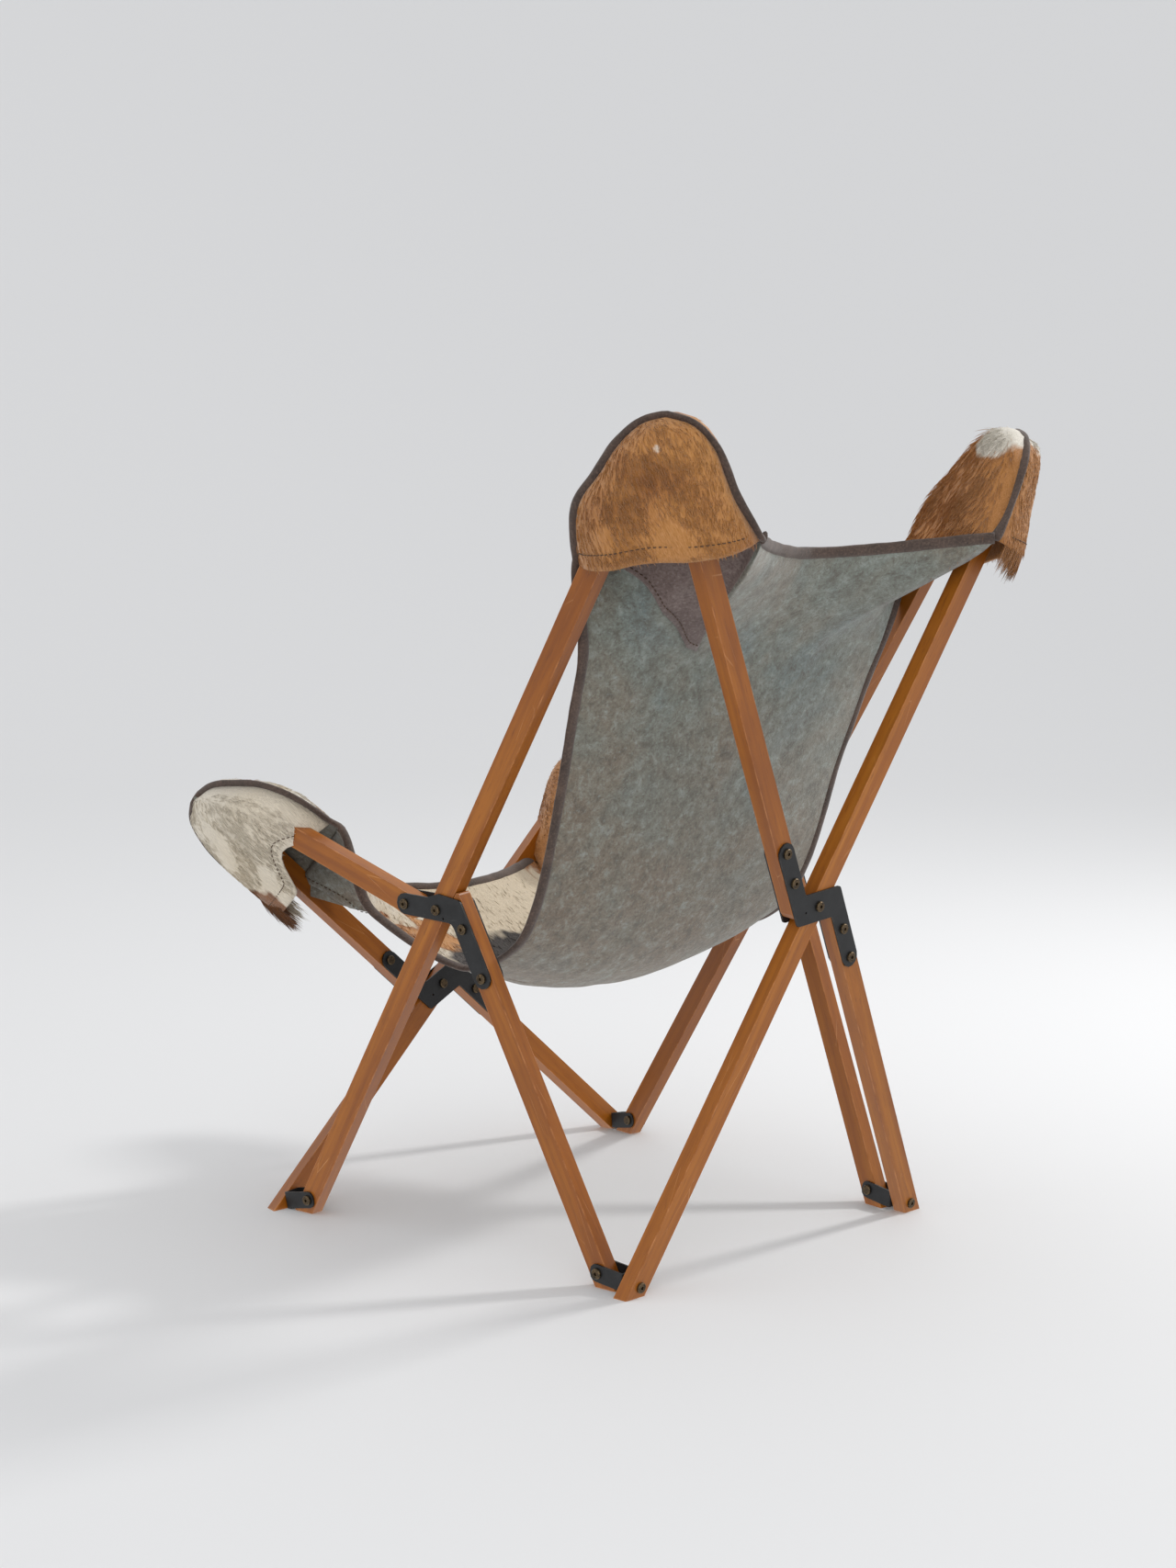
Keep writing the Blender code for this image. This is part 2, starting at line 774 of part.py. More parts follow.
# The sling's left edge and its middle line, from the top of the back, down and out along the seat.
SLING_EDGE = [
    (0.297, 0.274, 0.866),
    (0.281, 0.227, 0.750),
    (0.263, 0.173, 0.600),
    (0.257, 0.121, 0.450),
    (0.257, 0.071, 0.388),
    (0.258, -0.014, 0.361),
    (0.266, -0.104, 0.384),
    (0.281, -0.174, 0.420),
    (0.296, -0.231, 0.455),
]
SLING_MIDDLE = [
    (0.0, 0.293, 0.884),
    (0.0, 0.253, 0.750),
    (0.0, 0.203, 0.600),
    (0.0, 0.141, 0.450),
    (0.0, 0.073, 0.350),
    (0.0, -0.014, 0.306),
    (0.0, -0.109, 0.316),
    (0.0, -0.204, 0.356),
    (0.0, -0.294, 0.412),
]
CREASE = 5
# Each pocket's half width, half depth and height above its mouth.
BACK_POCKET = (0.106, 0.066, 0.192)
FRONT_POCKET = (0.108, 0.068, 0.142)
PANEL_COLUMNS = 12
STEPS_PER_SPAN = 2


def along(points, place):
    """A point on the smooth (Catmull-Rom) curve through points, at a fractional index."""
    last = len(points) - 1
    index = min(int(place), last - 1)
    t = place - index
    p0, p1, p2, p3 = (Vector(points[max(0, min(last, index + k))]) for k in (-1, 0, 1, 2))
    return 0.5 * (
        2 * p1 + (p2 - p0) * t + (2 * p0 - 5 * p1 + 4 * p2 - p3) * t**2 + (3 * p1 - p0 - 3 * p2 + p3) * t**3
    )


def sling_point(across, place):
    """A point of the sling: across runs from -1 to 1, place from the back's top to the seat's front."""
    edge = along(SLING_EDGE, place)
    middle = along(SLING_MIDDLE, place)
    bow = across * across
    return Vector(
        (across * edge.x, middle.y + (edge.y - middle.y) * bow, middle.z + (edge.z - middle.z) * bow)
    )


def sling_panel(name, first, last):
    """One half of the sling between two places along it, as a closed solid."""
    rows = round((last - first) * STEPS_PER_SPAN) + 1
    shape = bmesh.new()
    bmesh.ops.create_grid(shape, x_segments=PANEL_COLUMNS, y_segments=rows - 1, size=1.0)
    for vert in shape.verts:
        place = first + (last - first) * (vert.co.y + 1) / 2
        vert.co = sling_point(vert.co.x, place)
    mesh = bpy.data.meshes.new(name)
    shape.to_mesh(mesh)
    shape.free()
    thing = add_mesh(name, mesh, Matrix.Identity(4))
    thing.data.materials.append(finish(name, "hide"))
    shell = thing.modifiers.new("hide_thickness", "SOLIDIFY")
    shell.thickness = HIDE_THICK
    shell.offset = 0.0
    return thing


def pocket(name, mouth, axis, across, half_width, half_depth, height):
    """A pocket of hair-on hide: a domed bag that opens at its mouth."""
    frame = basis(mouth, across, axis)
    shape = bmesh.new()
    bmesh.ops.create_uvsphere(shape, u_segments=16, v_segments=8, radius=1.0)
    below = [face for face in shape.faces if face.calc_center_median().z < 0]
    bmesh.ops.delete(shape, geom=below, context="FACES")
    bmesh.ops.scale(shape, vec=(half_width, half_depth, height), verts=shape.verts)
    mesh = bpy.data.meshes.new(name)
    shape.to_mesh(mesh)
    shape.free()
    thing = add_mesh(name, mesh, frame)
    thing.data.materials.append(finish(name, "hair_hide"))
    shell = thing.modifiers.new("hide_thickness", "SOLIDIFY")
    shell.thickness = HIDE_THICK
    shell.offset = 1.0
    return thing


def pockets(hand, flip):
    """The back and front pockets of one side, each on the axis halfway between its two sticks."""
    back_side = (BACK_TIP - FRONT_FOOT).normalized()
    front_side = (FRONT_TIP - ELBOW).normalized()
    for place, tip, offset, side_way, end_way, depth, size in (
        ("back", BACK_TIP, BACK_REACH * BACK[0], back_side, -BACK[2], 0.138, BACK_POCKET),
        ("front", FRONT_TIP, FRONT_REACH * FRONT[0], front_side, -FRONT[2], 0.080, FRONT_POCKET),
    ):
        axis = (side_way + end_way).normalized()
        mouth = tip + offset / 2 - depth * axis
        # the two sticks part below the tip, and the pocket is widest that way
        spread = offset - depth * (end_way - side_way)
        if flip != 1:
            mouth, axis, spread = mouth * MIRROR, axis * MIRROR, spread * MIRROR
        pocket(f"pocket_{place}_{hand}", mouth, axis, spread, *size)


# ---------------------------------------------------------------- the whole chair

for hand, flip in (("left", 1), ("right", -1)):
    side_sticks(hand, flip)
    side_plates(hand, flip)
    side_bolts(hand, flip)


def peg_bore(end_normal):
    """The hole for a corner's bolt or rivet, through a back or front stick."""
    return lambda point: bore(point, end_normal)


end_sticks("back", BACK, peg_bore(BACK[0]), peg_bore(BACK[0]))
end_sticks("front", FRONT, peg_bore(FRONT[0]), peg_bore(FRONT[0]))
for place, layout in (("back", BACK), ("front", FRONT)):
    end_plates(place, layout)
    end_bolts(place, layout)

RIGHT_NORMAL = SIDE_NORMAL * MIRROR
foot_corner("back_left", BACK_FOOT, SIDE_NORMAL, BACK[0], BACK_REACH, True)
foot_corner("back_right", BACK_FOOT * MIRROR, RIGHT_NORMAL, BACK[0], BACK_REACH, True)
foot_corner("front_left", FRONT_FOOT, SIDE_NORMAL, FRONT[0], FRONT_REACH, False)
foot_corner("front_right", FRONT_FOOT * MIRROR, RIGHT_NORMAL, FRONT[0], FRONT_REACH, True)
tip_corner("back_left", BACK_TIP, SIDE_NORMAL, BACK[0], BACK_REACH, False)
tip_corner("back_right", BACK_TIP * MIRROR, RIGHT_NORMAL, BACK[0], BACK_REACH, False)
tip_corner("front_left", FRONT_TIP, SIDE_NORMAL, FRONT[0], FRONT_REACH, True)
tip_corner("front_right", FRONT_TIP * MIRROR, RIGHT_NORMAL, FRONT[0], FRONT_REACH, True)

sling_panel("sling_back_panel", 0, CREASE - 0.02)
sling_panel("sling_seat_panel", CREASE + 0.02, len(SLING_EDGE) - 1)
for hand, flip in (("left", 1), ("right", -1)):
    pockets(hand, flip)
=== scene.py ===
"""Looks of a folding lounge chair with a cowhide sling: materials, sewn hide, floor, light and camera."""

import random
from math import cos, pi, sin

import bmesh
import bpy
import numpy as np
from mathutils import Matrix, Vector, noise


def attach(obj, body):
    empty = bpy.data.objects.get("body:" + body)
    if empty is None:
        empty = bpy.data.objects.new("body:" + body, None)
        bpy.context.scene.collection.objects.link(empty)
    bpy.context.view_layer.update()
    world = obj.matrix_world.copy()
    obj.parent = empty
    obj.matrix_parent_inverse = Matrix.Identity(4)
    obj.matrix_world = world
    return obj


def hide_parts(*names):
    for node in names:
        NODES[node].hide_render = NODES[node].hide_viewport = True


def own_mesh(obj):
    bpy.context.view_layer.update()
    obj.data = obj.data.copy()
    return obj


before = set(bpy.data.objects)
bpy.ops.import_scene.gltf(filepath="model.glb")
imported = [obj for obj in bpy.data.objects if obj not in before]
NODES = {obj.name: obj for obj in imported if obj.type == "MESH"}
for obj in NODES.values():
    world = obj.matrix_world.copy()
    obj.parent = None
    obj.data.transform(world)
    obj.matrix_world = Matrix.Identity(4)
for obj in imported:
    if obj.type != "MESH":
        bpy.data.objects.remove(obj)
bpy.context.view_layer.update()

MIRROR = Vector((-1.0, 1.0, 1.0))


def on_side(vector, side):
    """The vector itself on the left side (1), and its mirror image on the right side (-1)."""
    return vector if side > 0 else vector * MIRROR


def smooth(t):
    """0 to 1 with a soft start and end."""
    t = max(0.0, min(1.0, t))
    return t * t * (3 - 2 * t)


# ---------------------------------------------------------------- node material helpers


class Graph:
    """A Principled material with short ways to add nodes."""

    def __init__(self, name):
        self.material = bpy.data.materials.new(name)
        self.material.use_nodes = True
        self.tree = self.material.node_tree
        self.shader = self.tree.nodes["Principled BSDF"]

    def node(self, kind, inputs=None, **settings):
        node = self.tree.nodes.new(kind)
        for key, value in settings.items():
            setattr(node, key, value)
        for key, value in (inputs or {}).items():
            self.put(node.inputs[key], value)
        return node

    def put(self, socket, value):
        if isinstance(value, bpy.types.NodeSocket):
            self.tree.links.new(value, socket)
        elif isinstance(value, bpy.types.Node):
            self.tree.links.new(value.outputs[0], socket)
        else:
            if socket.type == "RGBA" and len(value) == 3:
                value = (*value, 1.0)
            socket.default_value = value

    def set(self, **inputs):
        for key, value in inputs.items():
            self.put(self.shader.inputs[key.replace("_", " ")], value)

    def where(self):
        return self.node("ShaderNodeTexCoord").outputs["Object"]

    def mapping(self, source, scale=(1, 1, 1), rotation=(0, 0, 0), location=(0, 0, 0)):
        inputs = {"Vector": source, "Scale": scale, "Rotation": rotation, "Location": location}
        return self.node("ShaderNodeMapping", inputs)

    def noise(self, source, scale, detail=3.0, rough=0.5, distortion=0.0):
        inputs = {"Vector": source, "Scale": scale, "Detail": detail, "Roughness": rough}
        inputs["Distortion"] = distortion
        return self.node("ShaderNodeTexNoise", inputs).outputs[0]

    def ramp(self, source, stops):
        node = self.node("ShaderNodeValToRGB", {"Fac": source})
        elements = node.color_ramp.elements
        while len(elements) < len(stops):
            elements.new(0.5)
        for element, (place, colour) in zip(elements, stops):
            element.position = place
            element.color = (*colour, 1.0)
        return node.outputs[0]

    def level(self, source, low, high, out_low=0.0, out_high=1.0):
        inputs = {0: source, 1: low, 2: high, 3: out_low, 4: out_high}
        return self.node("ShaderNodeMapRange", inputs).outputs[0]

    def mix(self, factor, a, b):
        node = self.node("ShaderNodeMix", data_type="RGBA")
        for index, value in ((0, factor), (6, a), (7, b)):
            if isinstance(value, tuple):
                value = (*value, 1.0)
            self.put(node.inputs[index], value)
        return node.outputs[2]

    def math(self, operation, a, b):
        return self.node("ShaderNodeMath", {0: a, 1: b}, operation=operation).outputs[0]

    def bump(self, height, strength, distance):
        inputs = {"Height": height, "Strength": strength, "Distance": distance}
        return self.node("ShaderNodeBump", inputs).outputs[0]

    def edges(self, radius):
        """1 near sharp edges and 0 on flats."""
        flat_limit, edge_limit = 0.002, 0.05
        soft = self.node("ShaderNodeBevel", {"Radius": radius}, samples=4)
        hard = self.node("ShaderNodeNewGeometry").outputs["Normal"]
        dot = self.node("ShaderNodeVectorMath", {0: soft.outputs[0], 1: hard}, operation="DOT_PRODUCT")
        return self.level(self.math("SUBTRACT", 1.0, dot.outputs["Value"]), flat_limit, edge_limit)


def srgb(r, g, b):
    """0-255 screen values to linear."""
    return tuple(((c / 255 + 0.055) / 1.055) ** 2.4 if c > 10 else c / 255 / 12.92 for c in (r, g, b))


# ---------------------------------------------------------------- wood, steel and bolts


def stick_turn(thing):
    """The Euler angles that turn the stick's own length onto Z, its width onto X."""
    co = np.array([v.co for v in thing.data.vertices])
    co = co - co.mean(0)
    axes = np.linalg.svd(co, full_matrices=False)[2]
    z, x = Vector(axes[0]), Vector(axes[1])
    y = z.cross(x)
    return Matrix((x, y, z)).to_euler("XYZ")


def beech(name, turn, seed):
    """Lacquered beech, its grain along the stick; turn is the stick's own turn."""
    g = Graph(name)
    spot = g.where()
    own = g.mapping(spot, rotation=tuple(turn), location=(0.37 * seed, 0.21 * seed, 0.5 * seed))
    shade = random.Random(seed).uniform(-0.06, 0.06)

    broad = g.noise(g.mapping(own, scale=(28, 28, 2.2)), 1.0, 3.0, 0.55, 0.6)
    colour = g.ramp(
        broad,
        [
            (0.25, srgb(126, 68, 16)),
            (0.45, srgb(150, 86, 24)),
            (0.62, srgb(164, 99, 31)),
            (0.80, srgb(181, 116, 43)),
        ],
    )
    # long growth lines
    lines = g.noise(g.mapping(own, scale=(150, 150, 3.0)), 1.0, 4.0, 0.6, 0.3)
    colour = g.mix(g.level(lines, 0.42, 0.70, 0.0, 0.42), colour, srgb(112, 58, 20))
    # short ray flecks
    flecks = g.noise(g.mapping(own, scale=(620, 620, 46)), 1.0, 2.0, 0.5)
    colour = g.mix(g.level(flecks, 0.60, 0.74, 0.0, 0.5), colour, srgb(98, 50, 18))
    # a warm lacquer that is darker in patches
    patches = g.noise(own, 9.0, 3.0, 0.6)
    colour = g.mix(g.level(patches, 0.50, 0.75, 0.0, 0.35), colour, srgb(120, 64, 22))
    # pale scuffs and scratches across the faces
    scratch = g.node(
        "ShaderNodeTexVoronoi",
        {"Vector": g.mapping(own, scale=(55, 55, 9), rotation=(0, 0, 0.5)), "Scale": 1.0},
        feature="DISTANCE_TO_EDGE",
    )
    scuff_area = g.noise(own, 14.0, 2.0, 0.5)
    scuffs = g.math(
        "MULTIPLY", g.level(scratch.outputs[0], 0.0, 0.012, 1.0, 0.0), g.level(scuff_area, 0.56, 0.70)
    )
    colour = g.mix(g.math("MULTIPLY", scuffs, 0.55), colour, srgb(226, 170, 118))
    # lacquer rubbed off the edges, together with a painted highlight along them: pale at the edges, in
    # patches
    worn_and_highlit_edges = g.math("MULTIPLY", g.edges(0.0022), g.level(g.noise(own, 40.0, 3.0, 0.6), 0.40, 0.66))
    # pale edges: partly real wear, partly a painted highlight
    colour = g.mix(g.math("MULTIPLY", worn_and_highlit_edges, 0.65), colour, srgb(216, 150, 96))
    tone = g.node("ShaderNodeHueSaturation", {"Color": colour, "Value": 1.0 + shade, "Saturation": 1.02})
    g.set(Base_Color=tone.outputs[0])
    g.set(Roughness=g.level(broad, 0.2, 0.8, 0.34, 0.50), Coat_Weight=0.18, Coat_Roughness=0.3)
    g.set(Specular_IOR_Level=0.35)
    height = g.math("SUBTRACT", g.math("MULTIPLY", lines, 0.6), g.math("MULTIPLY", flecks, 0.4))
    g.set(Normal=g.bump(height, 0.25, 0.0006))
    return g.material


def black_steel(name):
    """Black painted steel, worn to grey at the edges."""
    g = Graph(name)
    spot = g.where()
    fine = g.noise(spot, 420.0, 3.0, 0.6)
    blotch = g.noise(spot, 45.0, 4.0, 0.65)
    colour = g.mix(g.level(blotch, 0.35, 0.70), srgb(25, 26, 28), srgb(43, 44, 46))
    worn = g.math("MULTIPLY", g.edges(0.0009), g.level(g.noise(spot, 110.0, 3.0, 0.6), 0.48, 0.70))
    colour = g.mix(g.math("MULTIPLY", worn, 0.7), colour, srgb(112, 106, 98))
    marks = g.noise(g.mapping(spot, scale=(900, 60, 300)), 1.0, 2.0, 0.5)
    colour = g.mix(g.level(marks, 0.68, 0.80, 0.0, 0.35), colour, srgb(84, 82, 78))
    g.set(Base_Color=colour, Metallic=0.35, Roughness=g.level(blotch, 0.3, 0.7, 0.38, 0.56))
    g.set(Normal=g.bump(fine, 0.18, 0.0004))
    return g.material


def bronzed(name):
    """Dark bronzed steel with brighter edges."""
    g = Graph(name)
    spot = g.where()
    blotch = g.noise(spot, 260.0, 4.0, 0.6)
    colour = g.mix(g.level(blotch, 0.35, 0.68), srgb(48, 42, 36), srgb(104, 86, 62))
    worn = g.edges(0.0007)
    colour = g.mix(g.math("MULTIPLY", worn, 0.6), colour, srgb(150, 128, 96))
    g.set(Base_Color=colour, Metallic=0.85, Roughness=g.level(blotch, 0.3, 0.7, 0.30, 0.52))
    g.set(Normal=g.bump(g.noise(spot, 1400.0, 2.0, 0.5), 0.12, 0.0003))
    return g.material


def dress_frame():
    """Wood for the sticks, bronze for the bolts, black steel for the plates and clevises."""
    steel = black_steel("black_steel")
    bronze = bronzed("bronzed_bolt")
    for number, (name, thing) in enumerate(sorted(NODES.items())):
        if "stick" in name:
            material = beech(f"beech_{name}", stick_turn(thing), number)
        elif "bolt" in name:
            material = bronze
        elif "plate" in name or "clevis" in name:
            material = steel
        else:
            continue
        thing.data.materials.clear()
        thing.data.materials.append(material)


# ---------------------------------------------------------------- hide materials


def suede(name):
    """The flesh side: mottled grey-green with rust and blue, and a fine nap."""
    g = Graph(name)
    spot = g.where()
    wide = g.noise(spot, 5.5, 5.0, 0.62, 0.5)
    colour = g.ramp(
        wide,
        [
            (0.28, srgb(112, 98, 84)),
            (0.42, srgb(124, 119, 106)),
            (0.55, srgb(118, 124, 116)),
            (0.70, srgb(108, 122, 122)),
        ],
    )
    # the lower part of the sling is browner
    height = g.node("ShaderNodeSeparateXYZ", {0: spot}).outputs["Z"]
    low = g.level(g.math("ADD", height, g.math("MULTIPLY", wide, 0.35)), 0.52, 0.95, 1.0, 0.0)
    colour = g.mix(g.math("MULTIPLY", low, 0.55), colour, srgb(124, 106, 88))
    mottle = g.noise(spot, 62.0, 6.0, 0.72, 0.4)
    colour = g.mix(g.level(mottle, 0.36, 0.50, 0.75, 0.0), colour, srgb(88, 84, 76))
    colour = g.mix(g.level(mottle, 0.52, 0.68, 0.0, 0.75), colour, srgb(150, 158, 152))
    specks = g.noise(spot, 240.0, 4.0, 0.7, 0.6)
    colour = g.mix(g.level(specks, 0.36, 0.47, 0.55, 0.0), colour, srgb(84, 74, 66))
    colour = g.mix(g.level(specks, 0.56, 0.68, 0.0, 0.45), colour, srgb(156, 168, 164))
    cells = g.node(
        "ShaderNodeTexVoronoi",
        {"Vector": spot, "Scale": 190.0, "Randomness": 1.0},
        feature="DISTANCE_TO_EDGE",
    )
    veins = g.level(cells.outputs[0], 0.0, 0.07, 1.0, 0.0)
    colour = g.mix(g.math("MULTIPLY", veins, 0.30), colour, srgb(92, 88, 80))
    g.set(Base_Color=colour, Roughness=0.92, Sheen_Weight=0.35, Sheen_Roughness=0.5)
    relief = g.math("ADD", g.math("MULTIPLY", mottle, 0.7), g.math("MULTIPLY", specks, 0.5))
    relief = g.math("SUBTRACT", relief, g.math("MULTIPLY", veins, 0.25))
    g.set(Normal=g.bump(relief, 0.55, 0.0016))
    return g.material


def patch_suede(name):
    """The plum-grey leather of the reinforcing patches."""
    g = Graph(name)
    spot = g.where()
    wide = g.noise(spot, 16.0, 4.0, 0.6, 0.3)
    colour = g.ramp(wide, [(0.3, srgb(92, 76, 72)), (0.55, srgb(112, 96, 92)), (0.75, srgb(128, 116, 112))])
    nap = g.noise(spot, 260.0, 5.0, 0.7, 0.4)
    colour = g.mix(g.level(nap, 0.38, 0.50, 0.6, 0.0), colour, srgb(72, 58, 54))
    colour = g.mix(g.level(nap, 0.54, 0.68, 0.0, 0.5), colour, srgb(150, 140, 136))
    g.set(Base_Color=colour, Roughness=0.9, Sheen_Weight=0.3)
    g.set(Normal=g.bump(nap, 0.5, 0.0012))
    return g.material


def binding_leather(name):
    """Dark brown suede binding with a fine grain."""
    g = Graph(name)
    spot = g.where()
    nap = g.noise(spot, 340.0, 5.0, 0.7)
    wide = g.noise(spot, 26.0, 3.0, 0.6)
    colour = g.ramp(wide, [(0.3, srgb(58, 46, 40)), (0.6, srgb(78, 62, 54)), (0.8, srgb(94, 76, 66))])
    colour = g.mix(g.level(nap, 0.50, 0.70, 0.0, 0.55), colour, srgb(118, 98, 86))
    colour = g.mix(g.level(nap, 0.34, 0.46, 0.5, 0.0), colour, srgb(42, 34, 30))
    g.set(Base_Color=colour, Roughness=0.82, Sheen_Weight=0.2)
    g.set(Normal=g.bump(nap, 0.5, 0.0010))
    return g.material


def thread(name):
    """Twisted brown thread."""
    g = Graph(name)
    twist = g.noise(g.where(), 900.0, 2.0, 0.5)
    g.set(Base_Color=g.mix(twist, srgb(58, 40, 28), srgb(96, 70, 48)), Roughness=0.7)
    g.set(Normal=g.bump(twist, 0.4, 0.0003))
    return g.material


def coat(name, flow, pattern, lock_gap_shade=0.38):
    """Hair: strokes drawn out along flow, over the colours that pattern(graph, position) builds.

    The third argument is how dark the painted shade in the gaps between the locks is.
    """
    g = Graph(name)
    spot = g.where()
    lie = Vector(flow).normalized()
    side = lie.orthogonal().normalized()
    turn = Matrix((side, lie.cross(side), lie)).to_euler("XYZ")
    swirl = g.node("ShaderNodeTexNoise", {"Vector": spot, "Scale": 9.0, "Detail": 2.0})
    wander = g.node(
        "ShaderNodeVectorMath",
        {0: swirl.outputs["Color"], 1: (0.016, 0.016, 0.016)},
        operation="MULTIPLY",
    )
    bent = g.node("ShaderNodeVectorMath", {0: spot, 1: wander.outputs[0]}, operation="ADD").outputs[0]
    own = g.mapping(bent, rotation=tuple(turn))
    strands = g.noise(g.mapping(own, scale=(900, 900, 42)), 1.0, 4.0, 0.65, 0.2)
    locks = g.noise(g.mapping(own, scale=(210, 210, 16)), 1.0, 4.0, 0.6, 0.3)
    colour = pattern(g, bent)
    # a darker copy of the colours for painted shade and a lighter one for a painted highlight
    dark = g.node("ShaderNodeHueSaturation", {"Color": colour, "Value": 0.68, "Saturation": 1.10})
    light = g.node("ShaderNodeHueSaturation", {"Color": colour, "Value": 1.28, "Saturation": 0.9})
    # painted shade between the strands and in the gaps between the locks, and a painted highlight along the
    # strands
    shade = g.mix(g.level(strands, 0.34, 0.52, 0.75, 0.0), colour, dark.outputs[0])
    shade = g.mix(g.level(locks, 0.34, 0.50, lock_gap_shade, 0.0), shade, dark.outputs[0])
    shade = g.mix(g.level(strands, 0.54, 0.70, 0.0, 0.65), shade, light.outputs[0])
    g.set(Base_Color=shade, Roughness=0.62, Sheen_Weight=0.25, Sheen_Roughness=0.35)
    g.set(Specular_IOR_Level=0.35)
    relief = g.math("ADD", g.math("MULTIPLY", strands, 0.5), locks)
    g.set(Normal=g.bump(relief, 0.8, 0.0022))
    return g.material


CREAM = srgb(214, 200, 176)
WHITE = srgb(226, 220, 208)
GOLD = srgb(196, 139, 80)
RUST = srgb(158, 102, 54)
UMBER = srgb(84, 52, 30)
# near-black for the painted shade in the crease of the seat
CREASE_SHADE = srgb(34, 26, 22)


def spot_mask(g, spot, place, radius, ragged=0.5, scale=30.0):
    """1 within radius of a place, with a ragged border."""
    away = g.node("ShaderNodeVectorMath", {0: spot, 1: tuple(place)}, operation="DISTANCE")
    rough = g.math("MULTIPLY", g.noise(spot, scale, 3.0, 0.6), radius * ragged * 2)
    reach = g.math("ADD", away.outputs["Value"], g.math("SUBTRACT", rough, radius * ragged))
    return g.level(reach, radius * 0.92, radius * 1.08, 1.0, 0.0)


def golden(g, spot):
    """Golden brown, redder lower down, with a pale fleck near the top of the back left pocket."""
    wide = g.noise(spot, 7.0, 3.0, 0.6, 0.4)
    colour = g.ramp(wide, [(0.3, RUST), (0.55, GOLD), (0.75, srgb(190, 138, 84))])
    low = g.level(g.node("ShaderNodeSeparateXYZ", {0: spot}).outputs["Z"], 0.88, 1.0, 0.35, 0.0)
    colour = g.mix(low, colour, RUST)
    fleck = BACK_POUCH.at(0.0, 0.74, 1, 0.002)
    return g.mix(spot_mask(g, spot, fleck, 0.010, 0.3, 90.0), colour, WHITE)


def piebald(g, spot):
    """Cream with a brown tuft at the hem."""
    colour = g.mix(g.noise(spot, 8.0, 2.0, 0.5), CREAM, WHITE)
    brown = g.mix(g.noise(spot, 30.0, 3.0, 0.6), UMBER, RUST)
    return g.mix(spot_mask(g, spot, FRONT_POUCH.at(0.40, 0.0, 1), 0.052, 0.35), colour, brown)


def tricolour(g, spot):
    """The sitting side: cream and golden patches, darkened with painted shade toward the fold of the seat.
    """
    wide = g.noise(g.mapping(spot, location=(0.3, 1.7, 0.9)), 4.2, 4.0, 0.55, 0.9)
    colour = g.ramp(
        wide,
        [(0.40, GOLD), (0.455, RUST), (0.475, CREAM), (0.60, WHITE), (0.625, RUST), (0.72, GOLD)],
    )
    # the seat is cream, and its right front corner brown
    colour = g.mix(spot_mask(g, spot, (-0.03, -0.25, 0.39), 0.150, 0.35), colour, CREAM)
    colour = g.mix(spot_mask(g, spot, (-0.25, -0.37, 0.51), 0.085, 0.4), colour, g.mix(wide, RUST, GOLD))
    # the right back corner is brown with a white top
    colour = g.mix(spot_mask(g, spot, (-0.26, 0.37, 0.93), 0.165, 0.2), colour, g.mix(wide, RUST, GOLD))
    colour = g.mix(spot_mask(g, spot, (-0.29, 0.42, 1.040), 0.036, 0.4), colour, WHITE)
    # painted shade: near-black toward the fold of the seat, where the crease lies in shade
    height = g.node("ShaderNodeSeparateXYZ", {0: spot}).outputs["Z"]
    edge = g.math("ADD", height, g.math("MULTIPLY", g.noise(spot, 9.0, 3.0, 0.6, 0.5), 0.06))
    return g.mix(g.level(edge, 0.386, 0.394, 1.0, 0.0), colour, CREASE_SHADE)


def brown_white(g, spot):
    """Golden brown with a white patch high up."""
    wide = g.noise(g.mapping(spot, location=(5.1, 0.2, 0.4)), 11.0, 3.0, 0.6, 0.5)
    colour = g.mix(wide, RUST, GOLD)
    return g.mix(spot_mask(g, spot, on_side(BACK_POUCH.at(0.2, 0.95, 1), -1), 0.045, 0.5), colour, WHITE)


# ---------------------------------------------------------------- the shape of the sling

# The sling's left edge and its middle line, from the top of the back, down and out along the seat.
EDGE = [
    (0.297, 0.274, 0.866),
    (0.281, 0.227, 0.750),
    (0.263, 0.173, 0.600),
    (0.257, 0.121, 0.450),
    (0.257, 0.071, 0.388),
    (0.258, -0.014, 0.361),
    (0.266, -0.104, 0.384),
    (0.281, -0.174, 0.420),
    (0.296, -0.231, 0.455),
]
MIDDLE = [
    (0.0, 0.293, 0.884),
    (0.0, 0.253, 0.750),
    (0.0, 0.203, 0.600),
    (0.0, 0.141, 0.450),
    (0.0, 0.073, 0.350),
    (0.0, -0.014, 0.306),
    (0.0, -0.109, 0.316),
    (0.0, -0.204, 0.356),
    (0.0, -0.294, 0.412),
]
# Which of these points lies in the crease between back and seat, and which is the last.
CREASE = 5
LAST = len(EDGE) - 1
# How far each half runs past the crease, as a share of the step to the next point.
BACK_LAP = 0.14
SEAT_LAP = 0.15
# How far the middle of the back's top edge hangs from the end of the middle line.
TOP_EDGE_SHIFT = Vector((0.0, 0.050, 0.006))

# How many columns run up each half of the sling's width, and how many of them a pouch's inner face takes.
HALF = 30
INNER = 18
# How many rows each half has below its pouches, and a pouch's inner face above its mouth.
PANEL_ROWS = {"back": 56, "seat": 30}
INNER_ROWS = 12
# How far down each half the pouches still pull it out of the plain sling's shape.
PULL = {"back": 0.15, "seat": 0.12}

HIDE_THICKNESS = 0.0028
WRINKLE = 0.0035


